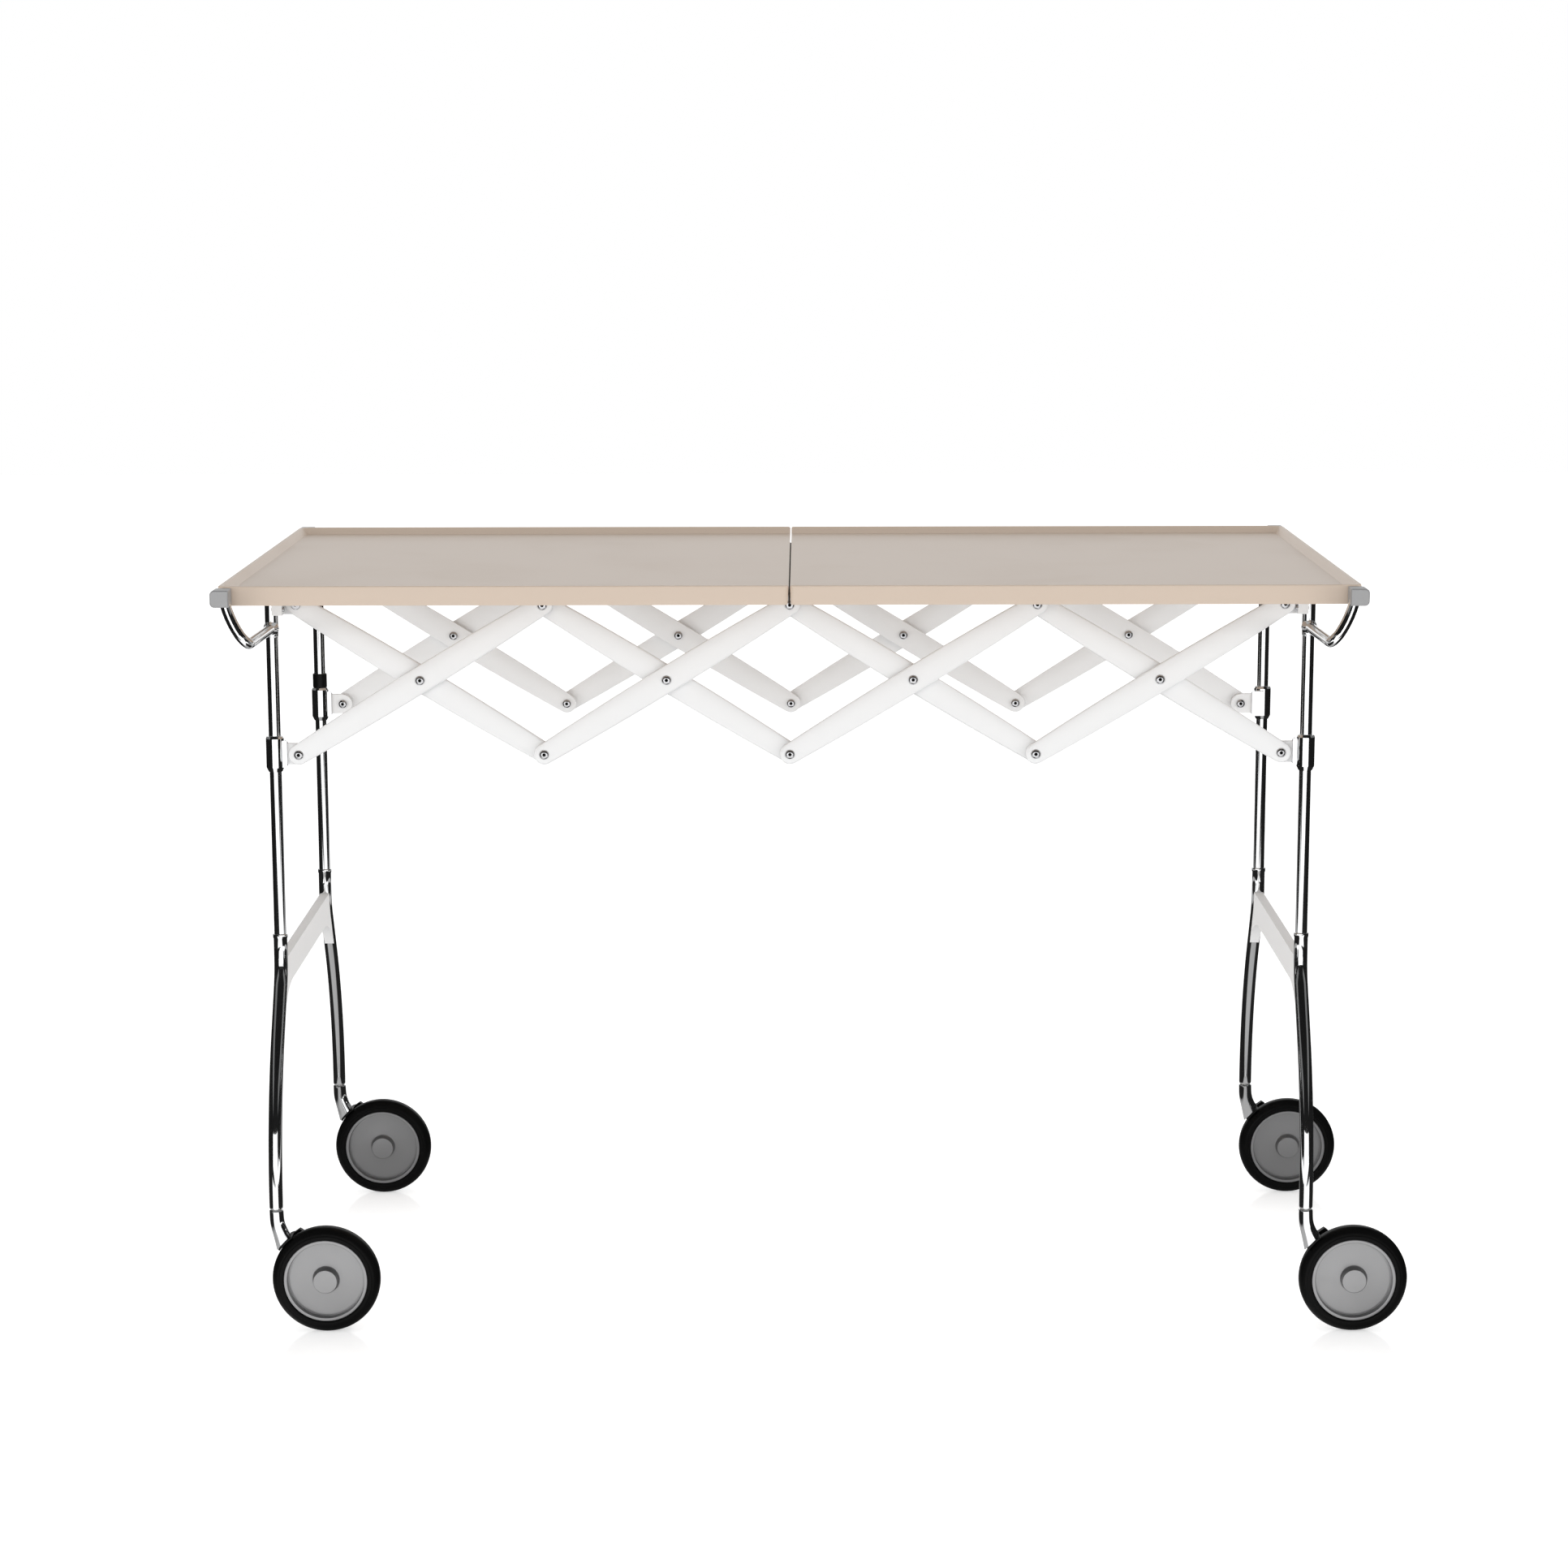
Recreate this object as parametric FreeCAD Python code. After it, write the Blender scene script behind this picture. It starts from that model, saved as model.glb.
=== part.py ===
"""Folding room service table on four casters.

Two wheeled leg frames are joined front and rear by a lazy-tong scissor. Each frame carries half
of the table top on hinge pins. The tray halves swing up, over and down outside the frames while
the scissor pulls the frames together.

All lengths are in millimetres. The table is laid out about its own middle: X runs along the
table, Y from front to rear, Z up from the floor. Paired pieces are drawn once, at the right or
at the rear, and mirrored. At the end everything moves along X, so that the origin lies under the
middle of the whole outline, casters included.
"""
import FreeCAD, Part
import math
import os
from FreeCAD import Vector

# ---------------------------------------------------------------- driving dimensions
table_height = 700.0

# Tray halves
tray_depth = 518.0
tray_edge_height = 17.2
tray_rim_height = 6.3
tray_rim_top_width = 4.0
tray_rim_foot_width = 9.5
tray_floor_thickness = 3.0
tray_wall = 3.0
tray_outer_corner_radius = 9.0
tray_seam_corner_radius = 4.0
tray_pocket_corner_radius = 3.0
tray_edge_round = 1.5
tray_rib_thickness = 2.0
tray_rib_setback = 1.2
tray_rib_count_across = 5
tray_end_overhang = 5.0
seam_gap = 3.0
seam_draft = 1.0
seam_land_height = 6.0
pad_radius = 7.0
pad_clearance = 0.3
pad_edge_round = 1.0

# Scissor
cross_count = 4
bar_pivot_length = 265.5
bar_open_angle = 31.46
bar_end_radius = 9.4
bar_bulge = 2.6
bar_thickness = 5.0
bar_crown = 1.6
bar_end_flat = 0.7
layer_gap = 1.0
tray_to_bar_gap = 2.8

# Pivot screws
screw_radius = 2.5
screw_head_radius = 4.15
screw_head_height = 2.0
screw_head_recess = 0.1
screw_socket_width = 3.0
screw_socket_depth = 1.4
washer_radius = 7.0
nut_radius = 4.2
nut_height = 2.2
running_clearance = 0.06
end_play = 0.15
face_gap = 0.3

# Leg frames
leg_spread = 305.0
leg_radius = 5.5
leg_wall = 1.5
leg_top_step = 0.5
leg_top_below_tray = 1.0
pivot_to_leg = 22.8
socket_top_height = 362.0
socket_depth = 20.0
socket_wall = 0.8
socket_ring_proud = 0.5
socket_ring_height = 4.0
socket_straight_length = 22.0
lower_leg_end_height = 116.5
splay = 69.5
splay_upper_radius = 55.0
splay_slant_length = 45.9
splay_foot_length = 10.0
web_thickness = 9.0
web_below_socket = 25.0
web_middle_depth = 27.5
web_end_drop = 30.0
web_end_length = 38.0

# Collars that slide on the legs
collar_height = 33.0
collar_shoulder = 4.0
collar_wall = 1.34
collar_low_lip = 0.6
collar_high_lip = 1.6
collar_bush_wall = 1.4
collar_bush_setback = 1.5
lug_seat_proud = 3.2
lug_seat_width = 8.0
lug_seat_round = 2.5
lug_seat_root = 0.2
lug_height = 19.5
stop_ring_wall = 1.5
stop_ring_height = 14.0

# Ears at the leg tops
ear_root_height = 20.0
ear_saddle_depth = 5.0
ear_saddle_reach = 9.0
ear_screw_edge = 2.8
ear_screw_radius = 1.6
ear_screw_head_radius = 2.3
ear_screw_head_height = 1.8
ear_screw_socket_width = 2.0
ear_screw_spacing = 9.0

# Arms and corner caps that hold the trays
arm_radius = 4.8
arm_root_below_tray = 33.8
arm_root_flare_radius = 7.2
arm_root_flare_length = 9.0
arm_bend_drop_out = 4.0
arm_bend_radius = 11.0
arm_middle_out = 10.5
arm_middle_rise = 15.5
arm_end_out = 19.3
cap_width = 16.4
cap_depth = 19.0
cap_above_edge = 0.6
cap_below_rim = 1.4
cap_side_gap = 1.0
cap_past_arm = 3.3
cap_outer_round = 4.0
cap_edge_round = 1.2
cap_socket_depth = 5.0
hinge_pin_radius = 2.0
hinge_pin_above_edge = 3.2
hinge_pin_in_tray = 22.0
hinge_pin_in_cap = 9.5
hinge_boss_wall = 1.2

# Casters
wheel_radius = 50.0
wheel_trail = 45.0
tyre_width = 20.0
tyre_section_height = 11.1
tyre_bead_height = 3.1
tyre_tread_width = 6.0
tyre_shoulder_drop = 2.4
tyre_shoulder_width = 15.0
hub_face_setback = 1.8
hub_lip_width = 3.6
hub_lip_proud = 1.0
hub_groove_width = 1.6
hub_groove_depth = 1.0
hub_disc_thickness = 3.2
hub_rim_thickness = 2.6
hub_boss_radius = 11.8
hub_boss_proud = 4.0
hub_boss_edge = 1.0
hub_barrel_radius = 10.5
hub_spoke_count = 6
hub_spoke_thickness = 2.5
hub_spoke_setback = 3.0
axle_radius = 4.0
axle_head_radius = 6.5
axle_head_height = 2.6
axle_end_cover = 2.5
neck_radius = 6.4
neck_bottom_height = 70.0
neck_bottom_half_length = 10.8
neck_bottom_shift = 4.6
neck_side_half_width = 6.9
neck_waist_share = 0.3
neck_waist_growth = 0.25
neck_waist_shift = 0.2
neck_middle_shift = 2.07
hood_gap = 1.5
hood_thickness = 5.5
hood_half_angle = 13.0
hood_centre_angle = 133.0
fork_thickness = 6.0
fork_side_gap = 0.9
fork_hood_radius = 12.0
fork_axle_radius = 13.0
pintle_radius = 4.0
pintle_end_gap = 3.0
pintle_bush_wall = 1.0
pintle_bush_length = 30.0

# ---------------------------------------------------------------- places that follow
open_angle = math.radians(bar_open_angle)
bar_middle_half_width = bar_end_radius + bar_bulge
screw_head_sink = bar_end_flat + screw_head_recess
pivot_spacing = bar_pivot_length * math.cos(open_angle)
tray_bottom_z = table_height - tray_edge_height
tray_floor_z = table_height - tray_rim_height
tray_underside_z = tray_floor_z - tray_floor_thickness
top_pivot_z = tray_bottom_z - tray_to_bar_gap - bar_end_radius
bottom_pivot_z = top_pivot_z - bar_pivot_length * math.sin(open_angle)
cross_pivot_z = (top_pivot_z + bottom_pivot_z) / 2

end_pivot_x = cross_count / 2 * pivot_spacing
leg_x = end_pivot_x + pivot_to_leg
leg_y = leg_spread / 2
leg_top_z = tray_bottom_z - leg_top_below_tray
leg_bore_radius = leg_radius - leg_wall
leg_top_radius = leg_radius + leg_top_step
lower_leg_radius = leg_radius + socket_wall
socket_ring_radius = lower_leg_radius + socket_ring_proud
splay_start_z = socket_top_height - socket_straight_length
web_top_z = socket_top_height - web_below_socket
collar_bush_radius = leg_radius + running_clearance + collar_bush_wall
collar_radius = collar_bush_radius + collar_wall
stop_ring_radius = leg_radius + stop_ring_wall

# The inner bars run in the plane of the legs; the other layers lie outside and inside of them.
inner_layer_y = leg_y + face_gap
layer_step = bar_thickness + layer_gap
outer_layer_y = inner_layer_y + layer_step
third_layer_y = inner_layer_y - layer_step

tray_half_depth = tray_depth / 2
cap_inner_y = tray_half_depth + cap_side_gap
cap_outer_y = cap_inner_y + cap_depth
cap_middle_y = (cap_inner_y + cap_outer_y) / 2
arm_root_z = tray_bottom_z - arm_root_below_tray
arm_bend_x = leg_x + arm_bend_drop_out
hinge_x = arm_bend_x + arm_end_out + cap_past_arm
hinge_z = tray_bottom_z + hinge_pin_above_edge
tray_end_x = hinge_x + tray_end_overhang
cap_outer_x = hinge_x + cap_width / 2
cap_top_z = table_height - cap_below_rim
cap_bottom_z = tray_bottom_z + cap_above_edge

foot_y = leg_y + splay
tyre_bore_radius = wheel_radius - tyre_section_height
tyre_side_radius = tyre_bore_radius + tyre_bead_height
tyre_shoulder_radius = wheel_radius - tyre_shoulder_drop
pintle_length = pintle_bush_length - pintle_end_gap
tread_end_x = leg_x + wheel_trail + wheel_radius
origin_shift = Vector((cap_outer_x - tread_end_x) / 2, 0, 0)

AXIS_X = Vector(1, 0, 0)
AXIS_Y = Vector(0, 1, 0)
AXIS_Z = Vector(0, 0, 1)
ORIGIN = Vector(0, 0, 0)


# ---------------------------------------------------------------- shape helpers
def block(x0, x1, y0, y1, z0, z1):
    return Part.makeBox(x1 - x0, y1 - y0, z1 - z0, Vector(x0, y0, z0))


def rod(radius, length, start, direction):
    return Part.makeCylinder(radius, length, start, direction)


def tube(outer_radius, bore_radius, length, start, direction):
    return rod(outer_radius, length, start, direction).cut(rod(bore_radius, length, start, direction))


def mirror_x(shape):
    return shape.mirror(ORIGIN, AXIS_X)


def mirror_y(shape):
    return shape.mirror(ORIGIN, AXIS_Y)


def front_and_rear(rear_shape):
    """The solids of a rear shape and of its mirror image at the front."""
    return rear_shape.Solids + mirror_y(rear_shape).Solids


def fused(shapes):
    whole = shapes[0]
    for shape in shapes[1:]:
        whole = whole.fuse(shape)
    return whole.removeSplitter()


def turned(profile_points, centre, axis):
    """A solid of revolution. Each point is (radius, distance along the axis from the centre)."""
    across = AXIS_X if abs(axis.dot(AXIS_X)) < 0.5 else AXIS_Z
    corners = [centre + across * radius + axis * along for radius, along in profile_points]
    face = Part.Face(Part.makePolygon(corners + corners[:1]))
    return face.revolve(centre, axis, 360)


def edges_along(shape, direction, test):
    """Straight edges that run along the direction and whose middle passes the test."""
    found = []
    for edge in shape.Edges:
        if not isinstance(edge.Curve, Part.Line):
            continue
        if abs(edge.Curve.Direction.dot(direction)) > 0.999 and test(edge.CenterOfMass):
            found.append(edge)
    return found


def hex_socket(width, depth, centre, direction):
    """A hexagonal key recess that runs from the centre of a head's face inwards."""
    corner_radius = width / math.sqrt(3)
    across = AXIS_Z if abs(direction.dot(AXIS_Z)) < 0.5 else AXIS_X
    upward = direction.cross(across)
    corners = []
    for index in range(6):
        angle = math.radians(60 * index)
        corners.append(centre + across * (corner_radius * math.cos(angle))
                       + upward * (corner_radius * math.sin(angle)))
    return Part.Face(Part.makePolygon(corners + corners[:1])).extrude(direction * depth)


# ---------------------------------------------------------------- scissor bars and pivot screws
def pivot_point(column, height):
    """The place of a scissor pivot. Column 0 is at the left end, and each cross adds 1."""
    return Vector((column - cross_count / 2) * pivot_spacing, 0, height)


def bar_outline():
    """A leaf-shaped outline in the XZ plane, from round end to round end, convex along its sides."""
    half = bar_pivot_length / 2
    bulge = bar_middle_half_width - bar_end_radius
    side_radius = (half ** 2 + bar_middle_half_width ** 2 - bar_end_radius ** 2) / (2 * bulge)
    side_centre_drop = side_radius - bar_middle_half_width
    reach = bar_end_radius / (side_radius - bar_end_radius)
    tangent_x = half * (1 + reach)
    tangent_z = side_centre_drop * reach
    end_x = half + bar_end_radius
    top_side = Part.Arc(Vector(-tangent_x, 0, tangent_z), Vector(0, 0, bar_middle_half_width),
                        Vector(tangent_x, 0, tangent_z))
    right_end = Part.Arc(Vector(tangent_x, 0, tangent_z), Vector(end_x, 0, 0),
                         Vector(tangent_x, 0, -tangent_z))
    bottom_side = Part.Arc(Vector(tangent_x, 0, -tangent_z), Vector(0, 0, -bar_middle_half_width),
                           Vector(-tangent_x, 0, -tangent_z))
    left_end = Part.Arc(Vector(-tangent_x, 0, -tangent_z), Vector(-end_x, 0, 0),
                        Vector(-tangent_x, 0, tangent_z))
    sides = (top_side, right_end, bottom_side, left_end)
    return Part.Face(Part.Wire([side.toShape() for side in sides]))


def scissor_bar(middle, angle, layer_y, hole_radius):
    """One rear bar: flat inside, crowned outside, with flat ends and three countersunk holes."""
    half = bar_pivot_length / 2
    inside_y = -bar_thickness / 2
    outside_y = bar_thickness / 2
    plate = bar_outline().extrude(AXIS_Y * bar_thickness)
    plate.translate(Vector(0, inside_y, 0))
    crown_radius = (bar_middle_half_width ** 2 + bar_crown ** 2) / (2 * bar_crown)
    crown_length = bar_pivot_length + 4 * bar_end_radius
    crown = rod(crown_radius, crown_length, Vector(-crown_length / 2, outside_y - crown_radius, 0), AXIS_X)
    bar = plate.common(crown)
    for along in (-half, 0, half):
        if along:
            flat = rod(bar_end_radius + face_gap, bar_thickness,
                       Vector(along, outside_y - bar_end_flat, 0), AXIS_Y)
            bar = bar.cut(flat)
        bar = bar.cut(rod(hole_radius, bar_thickness, Vector(along, inside_y, 0), AXIS_Y))
        bar = bar.cut(rod(screw_head_radius + face_gap, screw_head_sink,
                          Vector(along, outside_y - screw_head_sink, 0), AXIS_Y))
    bar.rotate(ORIGIN, AXIS_Y, angle)
    bar.translate(Vector(middle.x, layer_y, middle.z))
    return bar


def pivot_screw(place, head_layer_y, nut_layer_y, washer_layers):
    """Screw, washers and nut of one rear pivot. The head sits in the outermost layer."""
    head_seat_y = head_layer_y + bar_thickness / 2 - screw_head_sink
    nut_seat_y = nut_layer_y - bar_thickness / 2 - end_play
    shank_end_y = nut_seat_y - nut_height
    shank = rod(screw_radius, head_seat_y - shank_end_y, Vector(place.x, shank_end_y, place.z), AXIS_Y)
    head = rod(screw_head_radius, screw_head_height, Vector(place.x, head_seat_y, place.z), AXIS_Y)
    outer_rim = [edge for edge in head.Edges if isinstance(edge.Curve, Part.Circle)
                 and edge.CenterOfMass.y > head_seat_y + screw_head_height / 2]
    head = head.makeFillet(screw_head_height / 4, outer_rim)
    head_face = Vector(place.x, head_seat_y + screw_head_height, place.z)
    screw = shank.fuse(head).cut(hex_socket(screw_socket_width, screw_socket_depth, head_face, -AXIS_Y))
    nut = tube(nut_radius, screw_radius, nut_height, Vector(place.x, shank_end_y, place.z), AXIS_Y)
    pieces = [screw, nut]
    for layer_y in washer_layers:
        start = Vector(place.x, layer_y - bar_thickness / 2 - layer_gap + end_play, place.z)
        pieces.append(tube(washer_radius, screw_radius, layer_gap - end_play, start, AXIS_Y))
    return Part.makeCompound(pieces)


def make_scissor(parts):
    """Inner bars fall to the right from the top pivots; outer bars rise to the right over them.

    Each outer bar carries the screws of its three pivots, front and rear.
    """
    for index in range(1, cross_count + 1):
        middle = pivot_point(index - 0.5, cross_pivot_z)
        inner = scissor_bar(middle, bar_open_angle, inner_layer_y, screw_radius + running_clearance)
        outer = scissor_bar(middle, -bar_open_angle, outer_layer_y, screw_radius)
        parts["inner_bar_%d" % index] = front_and_rear(inner)
        parts["outer_bar_%d" % index] = front_and_rear(outer)
        screws = []
        low_place = pivot_point(index - 1, bottom_pivot_z)
        high_place = pivot_point(index, top_pivot_z)
        for place in (low_place, middle, high_place):
            screws += pivot_screw(place, outer_layer_y, inner_layer_y, [outer_layer_y]).Solids
        parts["outer_bar_%d_screws" % index] = front_and_rear(Part.makeCompound(screws))


# ---------------------------------------------------------------- leg frames
def lower_leg_path():
    """The centre line of a lower leg: straight socket, bend outwards, slant, bend back, foot.

    The bends turn by one angle, each way, and the slant between them has its own length.
    """
    fall = splay_start_z - lower_leg_end_height - splay_foot_length
    angle = 2 * math.atan(splay / (fall + splay_slant_length))
    radii_sum = (fall - splay_slant_length * math.cos(angle)) / math.sin(angle)
    lower_radius = radii_sum - splay_upper_radius

    def on_upper(turn):
        return Vector(leg_x, leg_y + splay_upper_radius * (1 - math.cos(turn)),
                      splay_start_z - splay_upper_radius * math.sin(turn))

    def on_lower(turn):
        return Vector(leg_x, foot_y - lower_radius * (1 - math.cos(turn)),
                      lower_leg_end_height + splay_foot_length + lower_radius * math.sin(turn))

    top = Vector(leg_x, leg_y, socket_top_height)
    end = Vector(leg_x, foot_y, lower_leg_end_height)
    return Part.Wire([
        Part.makeLine(top, on_upper(0)),
        Part.Arc(on_upper(0), on_upper(angle / 2), on_upper(angle)).toShape(),
        Part.makeLine(on_upper(angle), on_lower(angle)),
        Part.Arc(on_lower(angle), on_lower(angle / 2), on_lower(0)).toShape(),
        Part.makeLine(on_lower(0), end)])


def round_sweep(path, radius):
    start = path.OrderedVertexes[0].Point
    first = path.OrderedEdges[0]
    direction = first.tangentAt(first.FirstParameter)
    profile = Part.Wire([Part.makeCircle(radius, start, direction)])
    return path.makePipeShell([profile], True, False)


def lower_leg_blank():
    ring = rod(socket_ring_radius, socket_ring_height,
               Vector(leg_x, leg_y, socket_top_height - socket_ring_height), AXIS_Z)
    ring = ring.makeFillet(socket_ring_radius - lower_leg_radius,
                           [edge for edge in ring.Edges if isinstance(edge.Curve, Part.Circle)
                            and edge.CenterOfMass.z > socket_top_height - socket_ring_height / 2])
    return fused([round_sweep(lower_leg_path(), lower_leg_radius), ring])


def lower_leg():
    blank = lower_leg_blank()
    blank = blank.cut(rod(leg_radius, socket_depth, Vector(leg_x, leg_y, socket_top_height - socket_depth),
                          AXIS_Z))
    return blank.cut(rod(pintle_radius + running_clearance + pintle_bush_wall, pintle_bush_length,
                         Vector(leg_x, foot_y, lower_leg_end_height), AXIS_Z))


def leg_tube():
    """The straight upper tube, with the thicker seamless top that carries the arm and the ear."""
    foot_z = socket_top_height - socket_depth
    thick_foot_z = arm_root_z - arm_root_flare_radius
    slim = rod(leg_radius, leg_top_z - foot_z, Vector(leg_x, leg_y, foot_z), AXIS_Z)
    thick = rod(leg_top_radius, leg_top_z - thick_foot_z, Vector(leg_x, leg_y, thick_foot_z), AXIS_Z)
    cone_height = 2 * (leg_top_radius - leg_radius)
    cone = Part.makeCone(leg_radius, leg_top_radius, cone_height,
                         Vector(leg_x, leg_y, thick_foot_z - cone_height), AXIS_Z)
    whole = fused([slim, cone, thick])
    rim = [edge for edge in whole.Edges if isinstance(edge.Curve, Part.Circle)
           and abs(edge.CenterOfMass.z - leg_top_z) < 1e-6]
    whole = whole.makeFillet(leg_top_radius / 4, rim)
    bore_length = leg_top_z - foot_z - leg_top_radius
    return whole.cut(rod(leg_bore_radius, bore_length, Vector(leg_x, leg_y, foot_z), AXIS_Z))


def cross_web():
    """A flat casting between the front and rear lower legs, arched below, with long saddles."""
    half = leg_y - web_end_length
    low = web_top_z - web_middle_depth
    end_y = foot_y
    end_z = low - web_end_drop
    x = leg_x - web_thickness / 2
    corners = {
        "top_left": Vector(x, -end_y, web_top_z),
        "top_right": Vector(x, end_y, web_top_z),
        "low_right": Vector(x, end_y, end_z),
        "foot_right": Vector(x, leg_y + web_end_length / 2, end_z),
        "arch_right": Vector(x, half, low),
        "arch_left": Vector(x, -half, low),
        "foot_left": Vector(x, -leg_y - web_end_length / 2, end_z),
        "low_left": Vector(x, -end_y, end_z)}
    curve_y = leg_y - web_end_length / 8
    curve_z = low - web_end_drop / 3
    outline = Part.Wire([
        Part.makeLine(corners["top_left"], corners["top_right"]),
        Part.makeLine(corners["top_right"], corners["low_right"]),
        Part.makeLine(corners["low_right"], corners["foot_right"]),
        Part.Arc(corners["foot_right"], Vector(x, curve_y, curve_z), corners["arch_right"]).toShape(),
        Part.makeLine(corners["arch_right"], corners["arch_left"]),
        Part.Arc(corners["arch_left"], Vector(x, -curve_y, curve_z), corners["foot_left"]).toShape(),
        Part.makeLine(corners["foot_left"], corners["low_left"]),
        Part.makeLine(corners["low_left"], corners["top_left"])])
    plate = Part.Face(outline).extrude(AXIS_X * web_thickness)
    leg = lower_leg_blank()
    plate = plate.cut(leg).cut(mirror_y(leg))
    return min(plate.Solids, key=lambda solid: abs(solid.CenterOfMass.y))


def hinge_pin():
    start = Vector(hinge_x, tray_half_depth - hinge_pin_in_tray, hinge_z)
    length = hinge_pin_in_tray + cap_side_gap + hinge_pin_in_cap
    return rod(hinge_pin_radius, length, start, AXIS_Y)


def arm_blank():
    """A bent rod: along the table's side from the leg, then up and outwards to the corner cap."""
    bend = Vector(arm_bend_x, cap_middle_y, arm_root_z)
    middle = bend + Vector(arm_middle_out, 0, arm_middle_rise)
    end = Vector(arm_bend_x + arm_end_out, cap_middle_y, cap_bottom_z + cap_socket_depth)
    root = Vector(leg_x, leg_y, arm_root_z)
    rising = Part.Arc(bend, middle, end)
    rise_edge = rising.toShape()
    into_bend = (bend - root).normalize()
    out_of_bend = rise_edge.tangentAt(rise_edge.FirstParameter)
    bend_start = bend - into_bend * arm_bend_radius
    cut_at = rise_edge.getParameterByLength(arm_bend_radius)
    bend_end = rise_edge.valueAt(cut_at)
    bend_chord = (bend_start + bend_end) * 0.5
    bend_middle = bend_chord + (bend - bend_chord) * (math.sqrt(2) - 1)
    later = rise_edge.valueAt((cut_at + rise_edge.LastParameter) / 2)
    path = Part.Wire([
        Part.makeLine(root, bend_start),
        Part.Arc(bend_start, bend_middle, bend_end).toShape(),
        Part.Arc(bend_end, later, end).toShape()])
    arm = round_sweep(path, arm_radius)
    flare_start = root + into_bend * (leg_top_radius / 2)
    flare = Part.makeCone(arm_root_flare_radius, arm_radius, arm_root_flare_length, flare_start, into_bend)
    leg = rod(leg_top_radius, 4 * arm_root_flare_radius,
              Vector(leg_x, leg_y, arm_root_z - 2 * arm_root_flare_radius), AXIS_Z)
    whole = arm.fuse(flare).cut(leg)
    return max(whole.Solids, key=lambda solid: solid.Volume)


def corner_cap():
    body = block(hinge_x - cap_width / 2, cap_outer_x, cap_inner_y, cap_outer_y, cap_bottom_z, cap_top_z)
    outer_edges = edges_along(body, AXIS_Y, lambda middle: middle.x > hinge_x)
    body = body.makeFillet(cap_outer_round, outer_edges)
    face_edges = [edge for edge in body.Edges
                  if abs(edge.BoundBox.YMin - cap_outer_y) < 1e-6 and edge.BoundBox.YLength < 1e-6]
    body = body.makeFillet(cap_edge_round, face_edges)
    inner_edges = edges_along(body, AXIS_Y, lambda middle: middle.x < hinge_x)
    body = body.makeFillet(cap_edge_round / 2, inner_edges)
    return body.cut(arm_blank()).cut(hinge_pin())


def top_ear(layer_y):
    """A casting that saddles the inner side of the leg's top and ends in a round pivot eye."""
    plate_y = layer_y - bar_thickness / 2
    eye = rod(bar_end_radius, bar_thickness, Vector(end_pivot_x, plate_y, top_pivot_z), AXIS_Y)
    saddle_x = leg_x - leg_top_radius - ear_saddle_depth
    root_top_z = leg_top_z - face_gap
    root_low_z = root_top_z - ear_root_height
    plate = Part.Face(Part.makePolygon([
        Vector(end_pivot_x, plate_y, top_pivot_z + bar_end_radius),
        Vector(leg_x, plate_y, root_top_z),
        Vector(leg_x, plate_y, root_low_z),
        Vector(end_pivot_x, plate_y, top_pivot_z - bar_end_radius),
        Vector(end_pivot_x, plate_y, top_pivot_z + bar_end_radius)])).extrude(AXIS_Y * bar_thickness)
    saddle = block(saddle_x, leg_x - leg_top_radius / 4, plate_y, leg_y + ear_saddle_reach,
                   root_low_z, root_top_z)
    leg = rod(leg_top_radius, 2 * ear_root_height, Vector(leg_x, leg_y, root_low_z - ear_root_height / 2),
              AXIS_Z)
    ear = fused([eye, plate, saddle]).cut(leg)
    ear = max(ear.Solids, key=lambda solid: solid.Volume)
    for place in ear_screw_places():
        ear = ear.cut(rod(ear_screw_radius, 2 * ear_saddle_depth, place, AXIS_X))
    return ear


def ear_screw_places():
    """Where the two screws that hold an ear enter its saddle, heads towards the table's middle."""
    x = leg_x - leg_top_radius - ear_saddle_depth
    y = leg_y + ear_saddle_reach - ear_screw_edge
    middle_z = leg_top_z - face_gap - ear_root_height / 2
    return [Vector(x, y, middle_z + side * ear_screw_spacing / 2) for side in (-1, 1)]


def ear_screws():
    leg = rod(leg_top_radius, 2 * ear_root_height,
              Vector(leg_x, leg_y, leg_top_z - 2 * ear_root_height), AXIS_Z)
    screws = []
    for place in ear_screw_places():
        head_start = place - AXIS_X * ear_screw_head_height
        head = rod(ear_screw_head_radius, ear_screw_head_height, head_start, AXIS_X)
        head = head.cut(hex_socket(ear_screw_socket_width, ear_screw_head_height / 2, head_start, AXIS_X))
        shank = rod(ear_screw_radius, 2 * ear_saddle_depth, place, AXIS_X)
        screw = head.fuse(shank).cut(leg)
        screws.append(min(screw.Solids, key=lambda solid: solid.CenterOfMass.x))
    return screws


def caster_bush():
    return tube(pintle_radius + running_clearance + pintle_bush_wall, pintle_radius + running_clearance,
                pintle_bush_length, Vector(leg_x, foot_y, lower_leg_end_height), AXIS_Z)


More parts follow.
